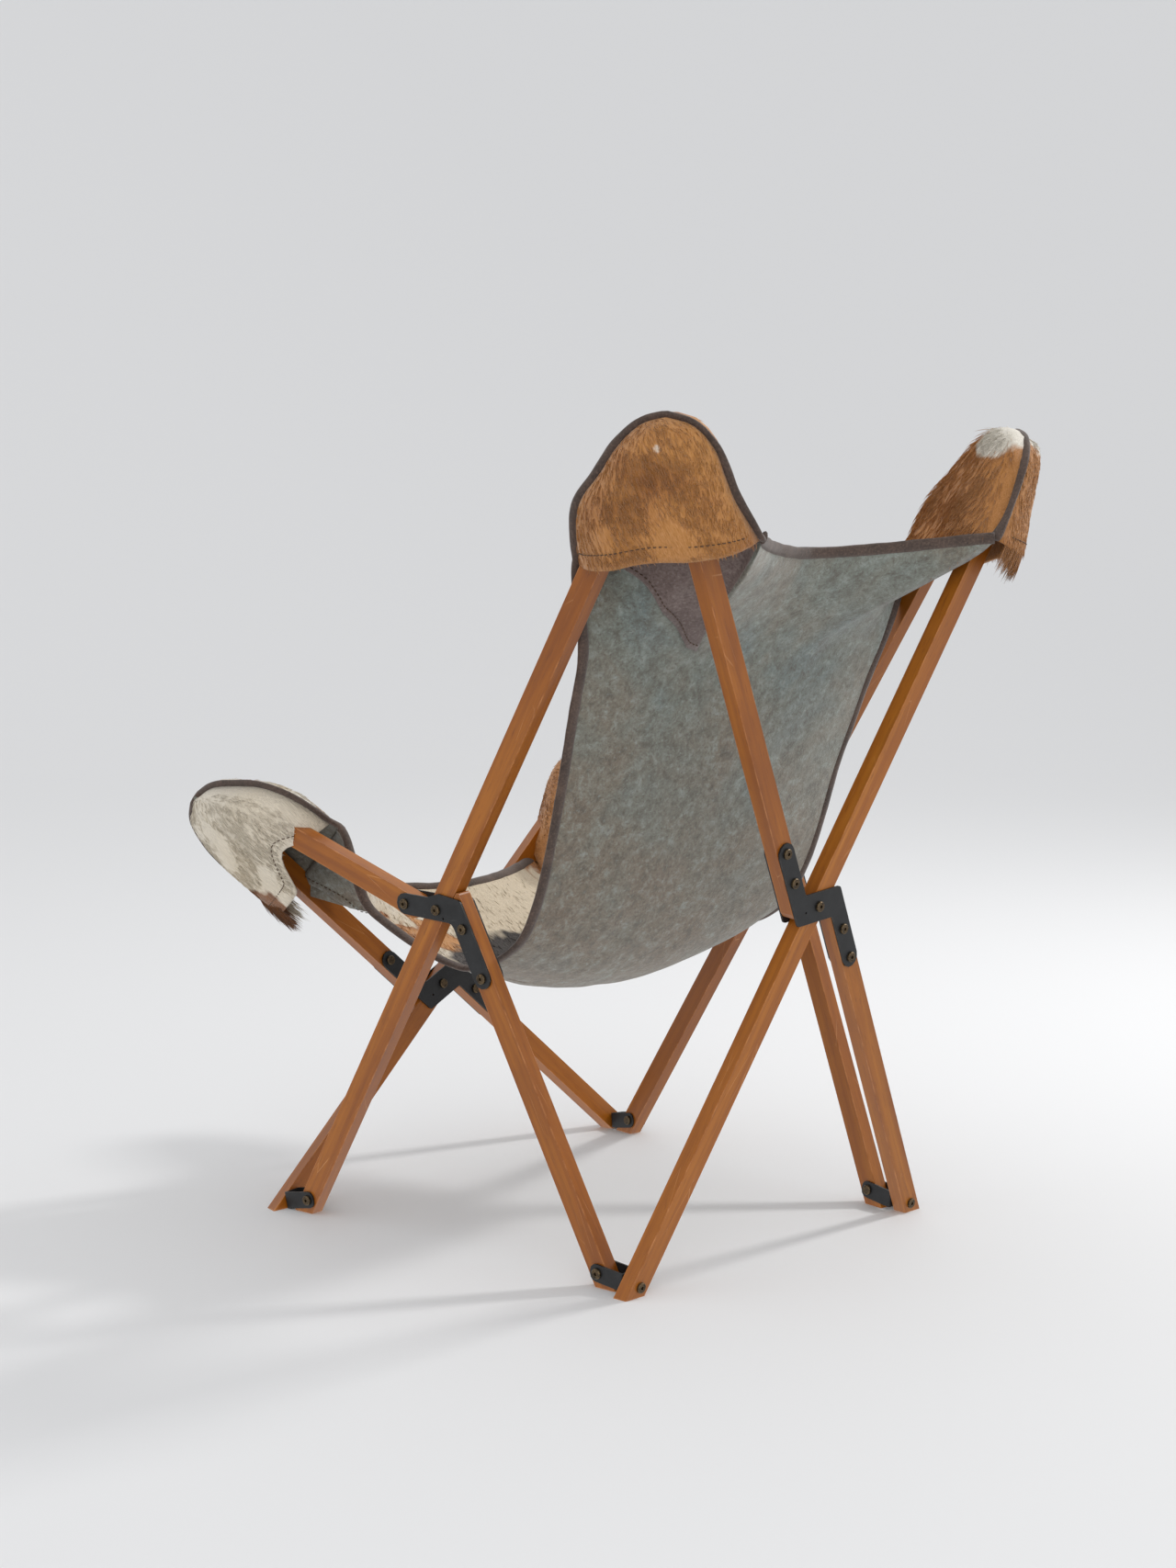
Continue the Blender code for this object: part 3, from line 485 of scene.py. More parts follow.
def along(points, place):
    """A point on the Catmull-Rom curve through points, at a fractional index."""
    last = len(points) - 1
    index = max(0, min(int(place), last - 1))
    t = place - index
    p0, p1, p2, p3 = (Vector(points[max(0, min(last, index + k))]) for k in (-1, 0, 1, 2))
    cubic = (2 * p0 - 5 * p1 + 4 * p2 - p3) * t**2 + (3 * p1 - p0 - 3 * p2 + p3) * t**3
    return 0.5 * (2 * p1 + (p2 - p0) * t + cubic)


def sheet(across, place):
    """A point of the plain sling: across from -1 to 1, place from the back's top to the seat's front."""
    edge, middle = along(EDGE, place), along(MIDDLE, place)
    bow = across * across
    return Vector(
        (across * edge.x, middle.y + (edge.y - middle.y) * bow, middle.z + (edge.z - middle.z) * bow)
    )


class Pouch:
    """A corner pocket: an outer and an inner face that meet along a bound edge.

    across points from the side stick's end to the end of the back or front stick, and side_edge and end_edge
    run from the mouth to the top, as (across, up) from centre. tuck draws the mouth's corners inward and
    fullness rounds the outer face, each for the side stick's half and the other half. inner_power and
    inner_share shape the sitting side, flare turns the end edge outward, and hem_rise and hem_notch lift the
    outer face's hem.
    """

    HALF_DEPTH = 0.066
    DRAW_IN = 0.010

    def __init__(
        self,
        centre,
        up,
        across,
        side_edge,
        end_edge,
        tuck,
        fullness,
        inner_power,
        inner_share,
        flare,
        hem_rise,
        hem_notch,
    ):
        self.centre, self.up = Vector(centre), Vector(up).normalized()
        flat = Vector(across) - Vector(across).dot(self.up) * self.up
        self.across = flat.normalized()
        self.out = self.up.cross(self.across).normalized()
        if self.out.x < 0:
            self.out = -self.out
        self.side_edge = [(x, y, 0.0) for x, y in side_edge]
        self.end_edge = [(x, y, 0.0) for x, y in end_edge]
        self.tuck, self.fullness = tuck, fullness
        self.inner_power, self.inner_share = inner_power, inner_share
        self.flare, self.hem_rise, self.hem_notch = flare, hem_rise, hem_notch
        self.mouth_width = (Vector(self.side_edge[0]) - Vector(self.end_edge[0])).length

    def at(self, a, t, face, lift=0.0):
        """A point of the outer (1) or inner (-1) face, lift off it.

        a runs from -1 (the side stick's end) to 1 (the other stick's end), and t from 0 (mouth) to 1 (top).
        """
        last = len(self.side_edge) - 1
        t = max(0.0, min(1.0, t))
        side, end = along(self.side_edge, t * last), along(self.end_edge, t * last)
        flat = side.lerp(end, (a + 1) / 2)
        taper = min(1.0, (end - side).length / self.mouth_width)
        arch = max(0.0, 1 - a * a)
        half = 0 if a < 0 else 1
        swell = arch ** self.fullness[half]
        if face < 0:
            # the sitting side lies flatter against the sticks
            swell = self.inner_share * arch ** (0.45 if a > 0 else self.inner_power)
        depth = self.HALF_DEPTH * taper**0.6 * swell + lift * min(1.0, swell * 3)
        # between the sticks the hide draws in a little
        depth -= self.DRAW_IN * taper * max(0.0, 1 - (a / 0.5) ** 2) ** 2
        tuck = self.tuck[half] * abs(a) ** 6 * max(0.0, 1 - t / 0.5) ** 2
        # higher up the end edge turns outward
        tuck -= self.flare * max(0.0, a) ** 4 * smooth(t / 0.55)
        shift = (face * depth - tuck) * self.out
        rise = 0.0
        if face > 0:
            # the outer face's hem is not level, and it is notched over the side stick
            rise = self.hem_rise * arch + self.hem_notch * smooth(1 - abs(a + 0.72) / 0.42)
        return self.centre + flat.x * self.across + (flat.y + rise * (1 - t)) * self.up + shift


BACK_POUCH = Pouch(
    centre=(0.3170, 0.3893, 0.9969),
    up=(0.2452, 0.3366, 0.9092),
    across=(-0.0630, 0.1109, -0.0118),
    side_edge=[
        (-0.090, -0.146), (-0.095, -0.104), (-0.091, -0.066), (-0.070, -0.028),
        (-0.052, 0.008), (-0.026, 0.040), (0.003, 0.054),
    ],
    end_edge=[
        (0.122, -0.080), (0.105, -0.054), (0.089, -0.028), (0.076, 0.000),
        (0.062, 0.027), (0.037, 0.049), (0.003, 0.054),
    ],
    tuck=(0.014, 0.016),
    fullness=(0.75, 0.75),
    inner_power=0.45,
    inner_share=0.80,
    flare=0.0,
    hem_rise=0.022,
    hem_notch=0.0,
)
FRONT_POUCH = Pouch(
    centre=(0.3559, -0.3826, 0.5522),
    up=(0.4990, -0.6310, 0.5940),
    across=(-0.2776, -0.7657, -0.5802),
    side_edge=[
        (-0.098, -0.150), (-0.107, -0.116), (-0.106, -0.080), (-0.088, -0.042),
        (-0.054, -0.008), (-0.016, 0.022), (0.022, 0.036),
    ],
    end_edge=[
        (0.124, -0.130), (0.124, -0.098), (0.117, -0.062), (0.106, -0.028),
        (0.090, 0.004), (0.064, 0.028), (0.022, 0.036),
    ],
    tuck=(0.014, 0.030),
    fullness=(0.36, 1.2),
    inner_power=1.1,
    inner_share=0.95,
    flare=0.012,
    hem_rise=-0.006,
    hem_notch=0.046,
)


def top_row(pouch, middle, c):
    """Where column c ends, along the sling's top or front edge and then the pouch's inner mouth."""
    start = HALF - INNER
    if c >= start:
        a = 1 - 2 * (c - start) / INNER
        return pouch.at(a, 0.0, -1)
    corner = pouch.at(1, 0.0, -1)
    s = c / start
    # the free edge hangs in one shallow curve between the pouches
    return Vector((s * corner.x, *(middle.yz + (corner.yz - middle.yz) * s**1.5)))


def panel_grid(first, last, pouch, rows, reach):
    """Rows of points over one half of the sling; row 0 is the free end with the pouches."""
    # the back's free edge is held a little further back than the sheet below it
    end_middle = sheet(0.0, first) + (TOP_EDGE_SHIFT if pouch is BACK_POUCH else Vector())
    grid = []
    for r in range(rows + 1):
        place = first + (last - first) * r / rows
        down = (sheet(0.5, place) - sheet(0.5, first)).length
        pull = (1 - smooth(down / reach)) ** 1.5
        row = []
        for c in range(-HALF, HALF + 1):
            u = abs(c) / HALF
            goal = top_row(pouch, end_middle, abs(c))
            point = sheet(u, place) + (goal - sheet(u, first)) * pull
            row.append(on_side(point, 1 if c >= 0 else -1))
        grid.append(row)
    return grid


def crumple(point):
    """How far a soft, low wrinkle lifts a place on the hide."""
    a = noise.noise(point * 9.0 + Vector((3.1, 0.4, 7.7)))
    b = noise.noise(Vector((point.x * 26, point.y * 26, point.z * 9)) + Vector((1.0, 9.2, 4.4)))
    return WRINKLE * (0.7 * a + 0.45 * b)


def smooth_faces(mesh):
    for polygon in mesh.polygons:
        polygon.use_smooth = True


def mesh_object(name, shape, materials):
    mesh = bpy.data.meshes.new(name)
    shape.to_mesh(mesh)
    shape.free()
    thing = bpy.data.objects.new(name, mesh)
    bpy.context.scene.collection.objects.link(thing)
    for material in materials:
        mesh.materials.append(material)
    smooth_faces(mesh)
    return thing


def grid_faces(shape, grid):
    """Faces between the points of a grid; returns its vertices, row by row."""
    verts = [[shape.verts.new(p) for p in row] for row in grid]
    for r in range(len(grid) - 1):
        for c in range(len(grid[0]) - 1):
            shape.faces.new((verts[r][c], verts[r][c + 1], verts[r + 1][c + 1], verts[r + 1][c]))
    return verts


def face_toward(shape, direction):
    """Turns all faces so that the sheet as a whole looks along direction."""
    bmesh.ops.recalc_face_normals(shape, faces=shape.faces)
    if sum((f.normal.dot(direction) * f.calc_area() for f in shape.faces), 0.0) < 0:
        bmesh.ops.reverse_faces(shape, faces=shape.faces)


def thicken(thing, thickness, offset):
    """Makes a sheet solid; a second material, when there is one, goes on its far side."""
    shell = thing.modifiers.new("thickness", "SOLIDIFY")
    shell.thickness = thickness
    shell.offset = offset
    if len(thing.data.materials) > 1:
        shell.material_offset = 1
    graph = bpy.context.evaluated_depsgraph_get()
    graph.update()
    mesh = bpy.data.meshes.new_from_object(thing.evaluated_get(graph))
    thing.modifiers.clear()
    thing.data = mesh
    smooth_faces(mesh)
    return thing


def inner_grid(pouch, side):
    """The pouch's inner face, as rows from the mouth up to the top."""
    grid = []
    for k in range(INNER_ROWS + 1):
        t = k / INNER_ROWS
        grid.append([on_side(pouch.at(1 - 2 * n / INNER, t, -1), side) for n in range(INNER + 1)])
    return grid


class Panel:
    """One half of the sling with the inner faces of its two pouches, as one sheet of hide."""

    def __init__(self, name, first, last, pouch, rows, reach, materials, facing):
        self.rows, self.pouch = rows, pouch
        shape = bmesh.new()
        grid = panel_grid(first, last, pouch, rows, reach)
        verts = grid_faces(shape, grid)
        extra = [grid_faces(shape, inner_grid(pouch, side)) for side in (1, -1)]
        # sew each pouch's inner face to the panel's own end row
        pairs = {}
        for side, rows_up in zip((1, -1), extra):
            for n in range(INNER + 1):
                c = HALF + side * (HALF - INNER + n)
                pairs[rows_up[0][n]] = verts[0][c]
        bmesh.ops.weld_verts(shape, targetmap=pairs)
        tips = [v for rows_up in extra for row in rows_up for v in row if v.is_valid]
        bmesh.ops.remove_doubles(shape, verts=tips, dist=0.0001)
        # the first material is the outside (suede): it faces rearward and down
        face_toward(shape, facing)
        shape.normal_update()
        for vert in shape.verts:
            vert.co += vert.normal * crumple(vert.co)
        shape.normal_update()
        self.points = [[v.co.copy() for v in row] for row in verts]
        self.normals = [[v.normal.copy() for v in row] for row in verts]
        self.thing = thicken(mesh_object(name, shape, materials), HIDE_THICKNESS, -1.0)

    def at(self, row, col, lift=0.0):
        """A point on the outside, lift off it; col from -HALF to HALF."""
        r = max(0.0, min(self.rows - 1e-6, row))
        c = max(0.0, min(2 * HALF - 1e-6, col + HALF))
        i, j = int(r), int(c)
        s, t = r - i, c - j
        weights = (
            ((1 - s) * (1 - t), i, j),
            (s * (1 - t), i + 1, j),
            ((1 - s) * t, i, j + 1),
            (s * t, i + 1, j + 1),
        )
        point, normal = Vector(), Vector()
        for weight, y, x in weights:
            point += weight * self.points[y][x]
            normal += weight * self.normals[y][x]
        return point + normal.normalized() * lift

    def out(self, row, col):
        return (self.at(row, col, 0.01) - self.at(row, col)).normalized()


# How many rows down the back panel its patch reaches, by share from the pouch's end edge to its side edge.
PATCH_REACH = [
    (0.02, 9.3), (0.13, 9.0), (0.28, 7.6), (0.45, 6.4),
    (0.60, 4.6), (0.75, 3.3), (0.85, 2.0), (0.93, 0.3),
]
# The right patch reaches down only this share of the left one.
RIGHT_PATCH_SHARE = 0.3
FRONT_PATCH_ROWS = 11.5
PATCH_THICKNESS = 0.0014


def patch_spot(place, side, k, n):
    """(row, share from the end edge to the side edge) on a patch, for k down it and n across it."""
    if place == "back":
        step = n * (len(PATCH_REACH) - 1)
        i = min(int(step), len(PATCH_REACH) - 2)
        (w0, d0), (w1, d1) = PATCH_REACH[i : i + 2]
        depth = d0 + (d1 - d0) * (step - i)
        share = 1.0 if side > 0 else RIGHT_PATCH_SHARE
        return max(0.05, depth * share * k), w0 + (w1 - w0) * (step - i)
    row = 0.05 + FRONT_PATCH_ROWS * k
    inner = 0.05 - 0.45 * smooth((row - 2.5) / 8)
    return row, inner + (0.97 - inner) * n


def patch_column(side, w):
    """The panel's column at share w from the pouch's end edge to its side edge."""
    return side * (HALF - INNER + w * INNER)


def make_patch(name, panel, side, place, material):
    """A thin reinforcing piece on the outside under a pouch."""
    shape = bmesh.new()
    grid = []
    columns, steps, lift = 26, 16, 0.0009
    for k in range(steps + 1):
        spots = [patch_spot(place, side, k / steps, n / columns) for n in range(columns + 1)]
        grid.append([panel.at(row, patch_column(side, w), lift) for row, w in spots])
    grid_faces(shape, grid)
    face_toward(shape, panel.out(2, side * (HALF - 5)))
    return thicken(mesh_object(name, shape, [material]), PATCH_THICKNESS, 1.0)


# ---------------------------------------------------------------- pockets, binding and stitches


POCKET_THICKNESS = 0.003
# How far a pocket's hair side lies off the pouch's outer face.
POCKET_LIFT = 0.0015


def make_pocket(name, pouch, side, material, seed):
    """The hair-on piece sewn over the outside of a corner."""
    shape = bmesh.new()
    grid = []
    levels, columns = 22, 28
    ripple_height, hem_drop = 0.005, 0.008
    for k in range(levels + 2):
        t = max(0, k - 1) / levels
        row = []
        for n in range(columns + 1):
            a = 1 - 2 * n / columns
            point = pouch.at(a, t, 1, POCKET_LIFT)
            ripple = noise.noise(point * 22 + Vector((seed, 2.0 * seed, 0))) * ripple_height
            point += pouch.out * ripple * (1 - a * a)
            # the hem runs a little past the mouth
            if k == 0:
                point -= pouch.up * hem_drop * (1 - a**6)
            row.append(on_side(point, side))
        grid.append(row)
    grid_faces(shape, grid)
    bmesh.ops.remove_doubles(shape, verts=shape.verts, dist=0.0002)
    face_toward(shape, on_side(pouch.out, side))
    return thicken(mesh_object(name, shape, [material]), POCKET_THICKNESS, -1.0)


def resample(points, step):
    """Points at an even spacing along a polyline."""
    out = [points[0].copy()]
    carry = 0.0
    for a, b in zip(points, points[1:]):
        length = (b - a).length
        while carry + length >= step:
            share = (step - carry) / length
            a = a.lerp(b, share)
            out.append(a.copy())
            length = (b - a).length
            carry = 0.0
        carry += length
    if (out[-1] - points[-1]).length > step * 0.4:
        out.append(points[-1].copy())
    return out


def tube(shape, rings):
    """Joins rings of vertices into a closed tube."""
    for a, b in zip(rings, rings[1:]):
        for n in range(len(a)):
            m = (n + 1) % len(a)
            shape.faces.new((a[n], a[m], b[m], b[n]))
    shape.faces.new(rings[0][::-1])
    shape.faces.new(rings[-1])


BINDING_WIDTH = 0.0160
BINDING_DEPTH = 0.0082
BINDING_STEP = 0.006


def binding_strip(name, points, facing, material):
    """A folded strip along a line: an oval in section, wide along facing and thin across it."""
    shape = bmesh.new()
    rings = []
    count = len(points)
    around = 10
    for i, point in enumerate(points):
        ahead = (points[min(i + 1, count - 1)] - points[max(i - 1, 0)]).normalized()
        x = (facing[i] - facing[i].dot(ahead) * ahead).normalized()
        y = ahead.cross(x)
        swell = 1 + 0.10 * noise.noise(point * 40)
        ring = []
        for n in range(around):
            angle = 2 * pi * n / around
            wide = x * (BINDING_WIDTH / 2 * cos(angle) * swell)
            deep = y * (BINDING_DEPTH / 2 * sin(angle) * swell)
            ring.append(shape.verts.new(point + wide + deep))
        rings.append(ring)
    tube(shape, rings)
    bmesh.ops.recalc_face_normals(shape, faces=shape.faces)
    return mesh_object(name, shape, [material])


STITCH_LENGTH = 0.0042
STITCH_GAP = 0.0026
# A stitch's section at places along it: (share of its length, height, share of its thickness).
STITCH_SECTIONS = ((0.0, 0.0, 0.55), (0.2, 0.001, 1.0), (0.8, 0.001, 1.0), (1.0, 0.0, 0.55))


def stitches(name, points, normals, material, radius=0.0007):
    """A row of sewn stitches laid along points on a surface."""
    shape = bmesh.new()
    line = resample(points, STITCH_LENGTH + STITCH_GAP)
    around = 6
    for i in range(len(line) - 1):
        start = line[i]
        ahead = (line[i + 1] - start).normalized()
        share = i / max(1, len(line) - 1)
        normal = normals[min(len(normals) - 1, round(share * (len(normals) - 1)))]
        x = (normal - normal.dot(ahead) * ahead).normalized()
        y = ahead.cross(x)
        rings = []
        for place, height, size in STITCH_SECTIONS:
            centre = start + ahead * (STITCH_LENGTH * place) + x * height
            ring = []
            for n in range(around):
                angle = 2 * pi * n / around
                spoke = x * (radius * size * cos(angle)) + y * (radius * size * sin(angle))
                ring.append(shape.verts.new(centre + spoke))
            rings.append(ring)
        tube(shape, rings)
    bmesh.ops.recalc_face_normals(shape, faces=shape.faces)
    return mesh_object(name, shape, [material])


# How much of its width the sling keeps when the frame is folded, how much of its own depth a pocket keeps,
# and how far a pocket drifts outward, to follow the stick ends.
FOLDED_WIDTH = 0.26
FOLDED_POCKET = {"back": 0.60, "front": 0.70}
POCKET_DRIFT = {"back": 0.0, "front": 0.020}


def place_soft(thing, body, slot, centre=0.0, keep=FOLDED_WIDTH, drift=0.0):
    """Puts a sling piece on its body and gives it a mesh of its own.

    centre and keep, for a pocket that keeps more of its depth to hold the stick ends while its centre moves
    in, are not used.
    """
    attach(thing, body)
    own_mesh(thing)


def pouch_rim(pouch, side, samples=24):
    """The pouch's edge, from the side stick's end of the mouth, over the top, to the other end."""
    points = [pouch.at(-1, k / samples, 1) for k in range(samples + 1)]
    points += [pouch.at(1, 1 - k / samples, 1) for k in range(1, samples + 1)]
    return [on_side(point, side) for point in points]


HAIR_STEPS = 3
HAIR_RADIUS = 0.00042


def hair(name, roots, material, length, seed, lift=0.25, radius=HAIR_RADIUS):
    """Fine tapering strands from (root, surface normal, lie) samples."""
    rng = random.Random(seed)
    verts, faces = [], []
    for root, normal, lie in roots:
        reach = length * rng.uniform(0.6, 1.25)
        across = normal.cross(lie).normalized()
        swing = rng.gauss(0, 0.22)
        way = (lie + across * swing + normal * lift * rng.uniform(0.5, 1.4)).normalized()
        base = len(verts)
        x = way.cross(normal).normalized()
        y = way.cross(x)
        size = radius * rng.uniform(0.7, 1.3)
        start = root - normal * 0.0006
        for k in range(HAIR_STEPS):
            share = k / HAIR_STEPS
            centre = start + way * reach * share - normal * (lift * reach * 0.75 * share * share)
            for n in range(3):
                angle = 2 * pi * n / 3
                verts.append(centre + (x * cos(angle) + y * sin(angle)) * size * (1 - 0.25 * share))
        verts.append(start + way * reach - normal * (lift * reach * 0.75))
        faces.append((base + 2, base + 1, base))
        for k in range(HAIR_STEPS - 1):
            for n in range(3):
                m = (n + 1) % 3
                low, high = base + 3 * k, base + 3 * k + 3
                faces.append((low + n, low + m, high + m, high + n))
        top, tip = base + 3 * (HAIR_STEPS - 1), base + 3 * HAIR_STEPS
        faces += [(top + n, top + (n + 1) % 3, tip) for n in range(3)]
    mesh = bpy.data.meshes.new(name)
    mesh.from_pydata(verts, [], faces)
    mesh.materials.append(material)
    smooth_faces(mesh)
    thing = bpy.data.objects.new(name, mesh)
    bpy.context.scene.collection.objects.link(thing)
    return thing


def pocket_roots(pouch, side, lie, count, seed, face=1):
    """Hair roots over a pocket's outer (1) or inner (-1) face."""
    rng = random.Random(seed)
    roots = []
    while len(roots) < count:
        a, t = rng.uniform(-0.96, 0.96), rng.uniform(0.0, 0.97)
        if rng.random() > (pouch.at(1, t, 1) - pouch.at(-1, t, 1)).length / pouch.mouth_width:
            continue
        lift = POCKET_LIFT if face > 0 else HIDE_THICKNESS
        point = pouch.at(a, t, face, lift)
        ahead = pouch.at(a, t + 0.02, face, lift) - point
        over = pouch.at(a + 0.02, t, face, lift) - point
        normal = ahead.cross(over).normalized()
        if normal.dot(pouch.out) * face < 0:
            normal = -normal
        point, normal = on_side(point, side), on_side(normal, side)
        flow = lie - lie.dot(normal) * normal
        if flow.length < 0.05:
            continue
        roots.append((point + normal * 0.001, normal, flow.normalized()))
    return roots


def tuft_roots(pouch, side, count, seed):
    """Roots of a loose tuft that hangs from the hem, toward the back or front stick."""
    rng = random.Random(seed)
    roots = []
    for _ in range(count):
        a, t = rng.uniform(0.25, 0.93), rng.uniform(0.0, 0.16)
        point = on_side(pouch.at(a, t, 1, POCKET_LIFT), side)
        normal = on_side((pouch.out + pouch.across * 0.5 * a).normalized(), side)
        lie = (Vector((0, 0, -1)) - pouch.up * 0.35 + pouch.across * rng.gauss(0, 0.12)).normalized()
        lie = on_side(lie, side)
        lie = (lie - lie.dot(normal) * normal).normalized()
        roots.append((point, normal, lie))
    return roots


def panel_roots(panel, lie, count, seed):
    """Hair roots over the sitting side of a panel, clear of its edges."""
    rng = random.Random(seed)
    roots = []
    while len(roots) < count:
        row, col = rng.uniform(1.0, panel.rows - 0.5), rng.uniform(-HALF + 0.6, HALF - 0.6)
        normal = -panel.out(row, col)
        point = panel.at(row, col) + normal * HIDE_THICKNESS
        flow = lie - lie.dot(normal) * normal
        roots.append((point, normal, flow.normalized()))
    return roots


# How the hair lies on the sitting side, and how many strands each half, pocket face and tuft has.
SITTING_LIE = {"back": Vector((0.05, -0.2, -1)), "seat": Vector((0.05, -1, 0.1))}
PANEL_STRANDS = {"back": 5200, "seat": 3200}
OUTER_STRANDS = 2200
INNER_STRANDS = 1500
TUFT_STRANDS = 900
# Lengths of hair: on the sitting side, on a shaggy pocket's sitting side, on the pockets and in a tuft.
SITTING_HAIR = 0.013
SHAGGY_HAIR = 0.026
OUTER_HAIR = 0.011
TUFT_HAIR = 0.040


def build_panels(outside, insides):
    """The two halves of the sling and the hair on their sitting side."""
    spans = {
        "back": (0.0, CREASE + BACK_LAP, BACK_POUCH, Vector((0, 1, -0.2))),
        "seat": (LAST, CREASE - SEAT_LAP, FRONT_POUCH, Vector((0, 0.2, -1))),
    }
    panels = {}
    for half, (first, last, pouch, facing) in spans.items():
        body, inside = f"sling_{half}", insides[half]
        name, rows = f"{body}_hide", PANEL_ROWS[half]
        panel = Panel(name, first, last, pouch, rows, PULL[half], [outside, inside], facing)
        place_soft(panel.thing, body, "suede_hide")
        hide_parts(f"{body}_panel")
        roots = panel_roots(panel, SITTING_LIE[half], PANEL_STRANDS[half], seed=11)
        fur = hair(f"{body}_hair", roots, inside, SITTING_HAIR, seed=12)
        place_soft(fur, body, "hair_hide")
        panels[half] = panel
    return panels


def hem_stitches(name, pouch, side, sewing):
    """Stitches just above a pocket's hem."""
    hem, out = [], []
    steps, height, lift = 44, 0.07, 0.0026
    for n in range(2, steps - 1):
        a = 1 - 2 * n / steps
        hem.append(on_side(pouch.at(a, height, 1, lift), side))
        out.append(on_side(pouch.out * (1 - 0.3 * abs(a)) + pouch.across * a * 0.6, side))
    return stitches(name, hem, out, sewing)


def patch_stitches(name, panel, side, place, sewing):
    """Stitches along a patch's free edge: the lower edge at the back, the inner edge at the front."""
    line, out = [], []
    steps, lift = 59, 0.0024
    row_inset, share_inset = 0.45, 0.05
    for n in range(steps + 1):
        if place == "back":
            row, w = patch_spot(place, side, 1.0, 0.02 + 0.95 * n / steps)
            row -= row_inset
        else:
            row, w = patch_spot(place, side, 0.02 + 0.96 * n / steps, 0.0)
            w += share_inset
        line.append(panel.at(row, patch_column(side, w), lift))
        out.append(panel.out(row, patch_column(side, w)))
    return stitches(name, line, out, sewing, radius=0.0006)


def build_pocket(place, side, lie, pattern, body, pouch, inside, sewing):
    """One pocket with its hair, outside and inside, and its hem stitches."""
    corner = f"{place}_left" if side > 0 else f"{place}_right"
    material = coat(f"hair_{corner}", lie, pattern, 0.10 if pattern is piebald else 0.38)
    folding = (side * pouch.centre.x, FOLDED_POCKET[place], side * POCKET_DRIFT[place])
    pocket = make_pocket(f"hair_pocket_{corner}", pouch, side, material, 1.0 + side)
    place_soft(pocket, body, "hair_hide", *folding)
    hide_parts(f"pocket_{corner}")
    roots = pocket_roots(pouch, side, lie.normalized(), OUTER_STRANDS, seed=21 + side)
    fur = hair(f"hair_fur_{corner}", roots, material, OUTER_HAIR, seed=31, lift=0.16)
    place_soft(fur, body, "hair_hide", *folding)

    inner_lie = Vector((0.1 * side, -0.3, -1)) if place == "back" else Vector((0.1 * side, 1, -0.6))
    roots = pocket_roots(pouch, side, inner_lie.normalized(), INNER_STRANDS, seed=51 + side, face=-1)
    length, lift = (SHAGGY_HAIR, 0.3) if corner == "back_right" else (SITTING_HAIR, 0.16)
    fur = hair(f"hair_inner_{corner}", roots, inside, length, seed=32, lift=lift)
    place_soft(fur, body, "hair_hide")
    if corner in ("front_left", "back_right"):
        roots = tuft_roots(pouch, side, TUFT_STRANDS, seed=41)
        fur = hair(f"hair_tuft_{corner}", roots, material, TUFT_HAIR, seed=42, lift=0.12, radius=0.0005)
        place_soft(fur, body, "hair_hide", *folding)
    place_soft(hem_stitches(f"hem_stitches_{corner}", pouch, side, sewing), body, "suede_hide", *folding)


def build_patch(place, side, body, panel, material, sewing):
    """One reinforcing patch and its stitches."""
    corner = f"{place}_left" if side > 0 else f"{place}_right"
    place_soft(make_patch(f"patch_{corner}", panel, side, place, material), body, "suede_hide")
    place_soft(patch_stitches(f"patch_stitches_{corner}", panel, side, place, sewing), body, "suede_hide")


def build_binding(half, panel, material):
    """The binding of one half: round its pouches, down both sides and along the free edge."""
    pouch, body = panel.pouch, f"sling_{half}"
    for side, hand in ((1, "left"), (-1, "right")):
        edge = [panel.at(r, side * HALF, -HIDE_THICKNESS / 2) for r in range(panel.rows + 1)]
        line = resample(edge[::-1] + pouch_rim(pouch, side)[1:], BINDING_STEP)
        centre = on_side(pouch.centre - pouch.up * 0.07, side)
        # the strip is wide toward the pouch's middle near the pouch, and across the hide's edge elsewhere
        facing = []
        for point in line:
            near = smooth(1.6 - (point - centre).length / 0.11)
            facing.append(Vector((-side, 0, 0)).lerp((centre - point).normalized(), near))
        place_soft(binding_strip(f"binding_{half}_{hand}", line, facing, material), body, "suede_hide")
    middle = range(-(HALF - INNER), HALF - INNER + 1)
    line = resample([panel.at(0, c, -HIDE_THICKNESS / 2) for c in middle], BINDING_STEP)
    down = (panel.at(3, 0) - panel.at(0, 0)).normalized()
    strip = binding_strip(f"binding_{half}_middle", line, [down] * len(line), material)
    place_soft(strip, body, "suede_hide")


def build_sling():
    outside = suede("suede_outside")
    patch = patch_suede("patch_suede")
    binding = binding_leather("dark_binding")
    sewing = thread("brown_thread")
    insides = {half: coat(f"hair_sitting_{half}", lie, tricolour) for half, lie in SITTING_LIE.items()}
    panels = build_panels(outside, insides)
    coats = {
        ("back", 1): (Vector((-0.25, 0.3, -1)), golden),
        ("back", -1): (Vector((0.2, 0.3, -1)), brown_white),
        ("front", 1): (Vector((-0.5, 0.75, -0.75)), piebald),
        ("front", -1): (Vector((0.5, 0.75, -0.75)), golden),
    }
    for (place, side), (lie, pattern) in coats.items():
        half = "back" if place == "back" else "seat"
        body, panel = f"sling_{half}", panels[half]
        build_pocket(place, side, lie, pattern, body, panel.pouch, insides[half], sewing)
        build_patch(place, side, body, panel, patch if place == "back" else outside, sewing)
    for half, panel in panels.items():
        build_binding(half, panel, binding)


# ---------------------------------------------------------------- floor, light and camera


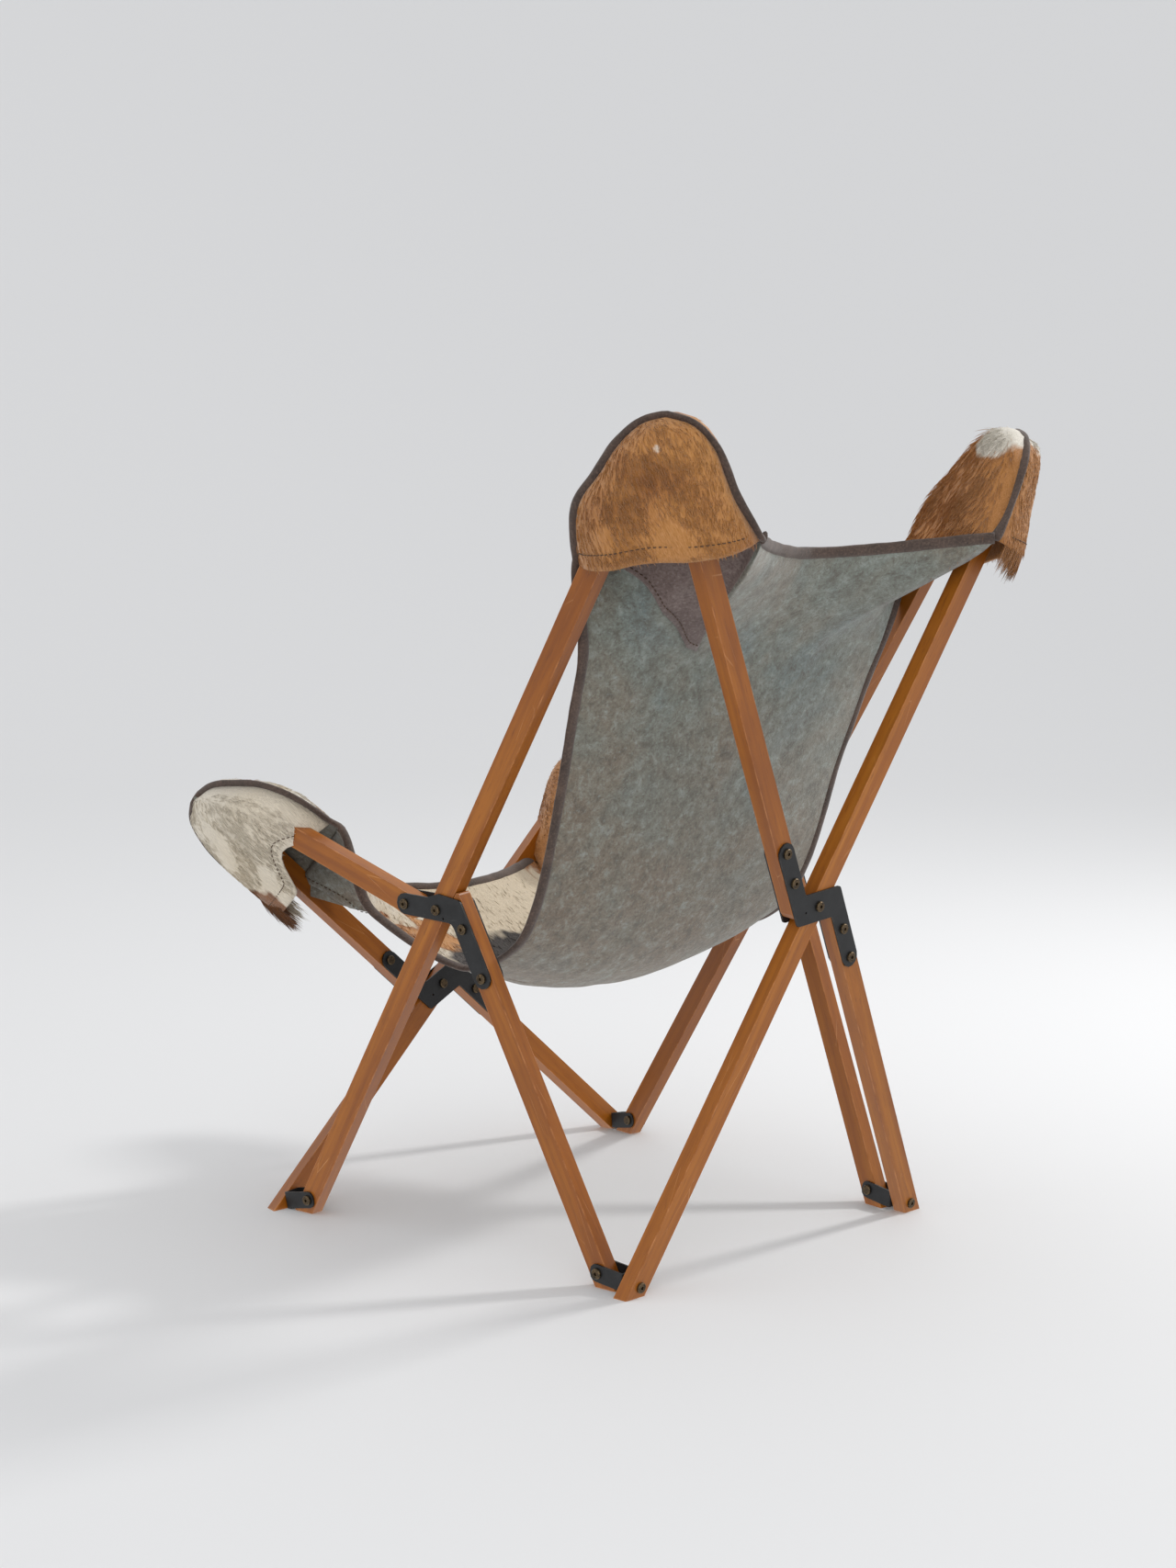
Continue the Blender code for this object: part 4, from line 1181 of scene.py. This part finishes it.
def build_sweep():
    """A white floor that curves up into a wall all round."""
    g = Graph("studio_white")
    g.set(Base_Color=srgb(226, 227, 229), Roughness=0.75)
    shape = bmesh.new()
    floor_radius, cove, height = 5.5, 2.5, 7.0
    profile = [(floor_radius, 0.0)]
    cove_steps = 12
    for n in range(1, cove_steps + 1):
        angle = pi / 2 * n / cove_steps
        profile.append((floor_radius + cove * sin(angle), cove - cove * cos(angle)))
    profile.append((floor_radius + cove, height))
    around = 96
    rings = [
        [
            shape.verts.new((reach * cos(2 * pi * n / around), reach * sin(2 * pi * n / around), z))
            for n in range(around)
        ]
        for reach, z in profile
    ]
    shape.faces.new(rings[0])
    for low, high in zip(rings, rings[1:]):
        for n in range(around):
            m = (n + 1) % around
            shape.faces.new((low[n], low[m], high[m], high[n]))
    bmesh.ops.recalc_face_normals(shape, faces=shape.faces)
    sweep = mesh_object("studio_sweep", shape, [g.material])
    # the studio is open to the soft light of the world from every side
    sweep.visible_diffuse = False
    sweep.visible_shadow = False
    sweep.visible_glossy = False


def build_light():
    """Soft light from the whole world, a small warm key light and a large weak fill light."""
    world = bpy.data.worlds.new("studio")
    bpy.context.scene.world = world
    world.use_nodes = True
    background = world.node_tree.nodes["Background"]
    background.inputs["Color"].default_value = (1.0, 1.0, 1.0, 1.0)
    background.inputs["Strength"].default_value = 0.85

    area_light("key", (-2.9, 0.9, 2.9), target=(0, 0, 0.4), size=0.45, power=60, colour=(1.0, 0.985, 0.96))
    area_light("fill", (2.6, 3.0, 2.2), target=(0, 0, 0.5), size=2.0, power=14, colour=(1.0, 1.0, 1.0))


def area_light(name, place, target, size, power, colour):
    """A square lamp at place that looks at target."""
    lamp = bpy.data.lights.new(name, "AREA")
    lamp.size = size
    lamp.energy = power
    lamp.color = colour
    thing = bpy.data.objects.new(name, lamp)
    thing.location = place
    thing.rotation_euler = (Vector(target) - Vector(place)).to_track_quat("-Z", "Y").to_euler()
    bpy.context.scene.collection.objects.link(thing)


CAMERA_PLACE = (2.3071, 2.2825, 0.9189)
CAMERA_LOOK = (-0.69987, -0.70637, -0.10590)
LENS = 74.306
SENSOR_WIDTH = 36.0
LENS_SHIFT = 0.004


def build_camera():
    """The photograph's view: from behind, on the sitter's left side."""
    camera = bpy.data.cameras.new("camera")
    camera.sensor_fit = "HORIZONTAL"
    camera.sensor_width = SENSOR_WIDTH
    camera.lens = LENS
    camera.shift_y = LENS_SHIFT
    thing = bpy.data.objects.new("camera", camera)
    thing.location = CAMERA_PLACE
    thing.rotation_euler = Vector(CAMERA_LOOK).to_track_quat("-Z", "Y").to_euler()
    scene = bpy.context.scene
    scene.collection.objects.link(thing)
    scene.camera = thing
    scene.view_settings.view_transform = "Standard"
    scene.view_settings.look = "None"


dress_frame()
build_sling()
build_sweep()
build_light()
build_camera()
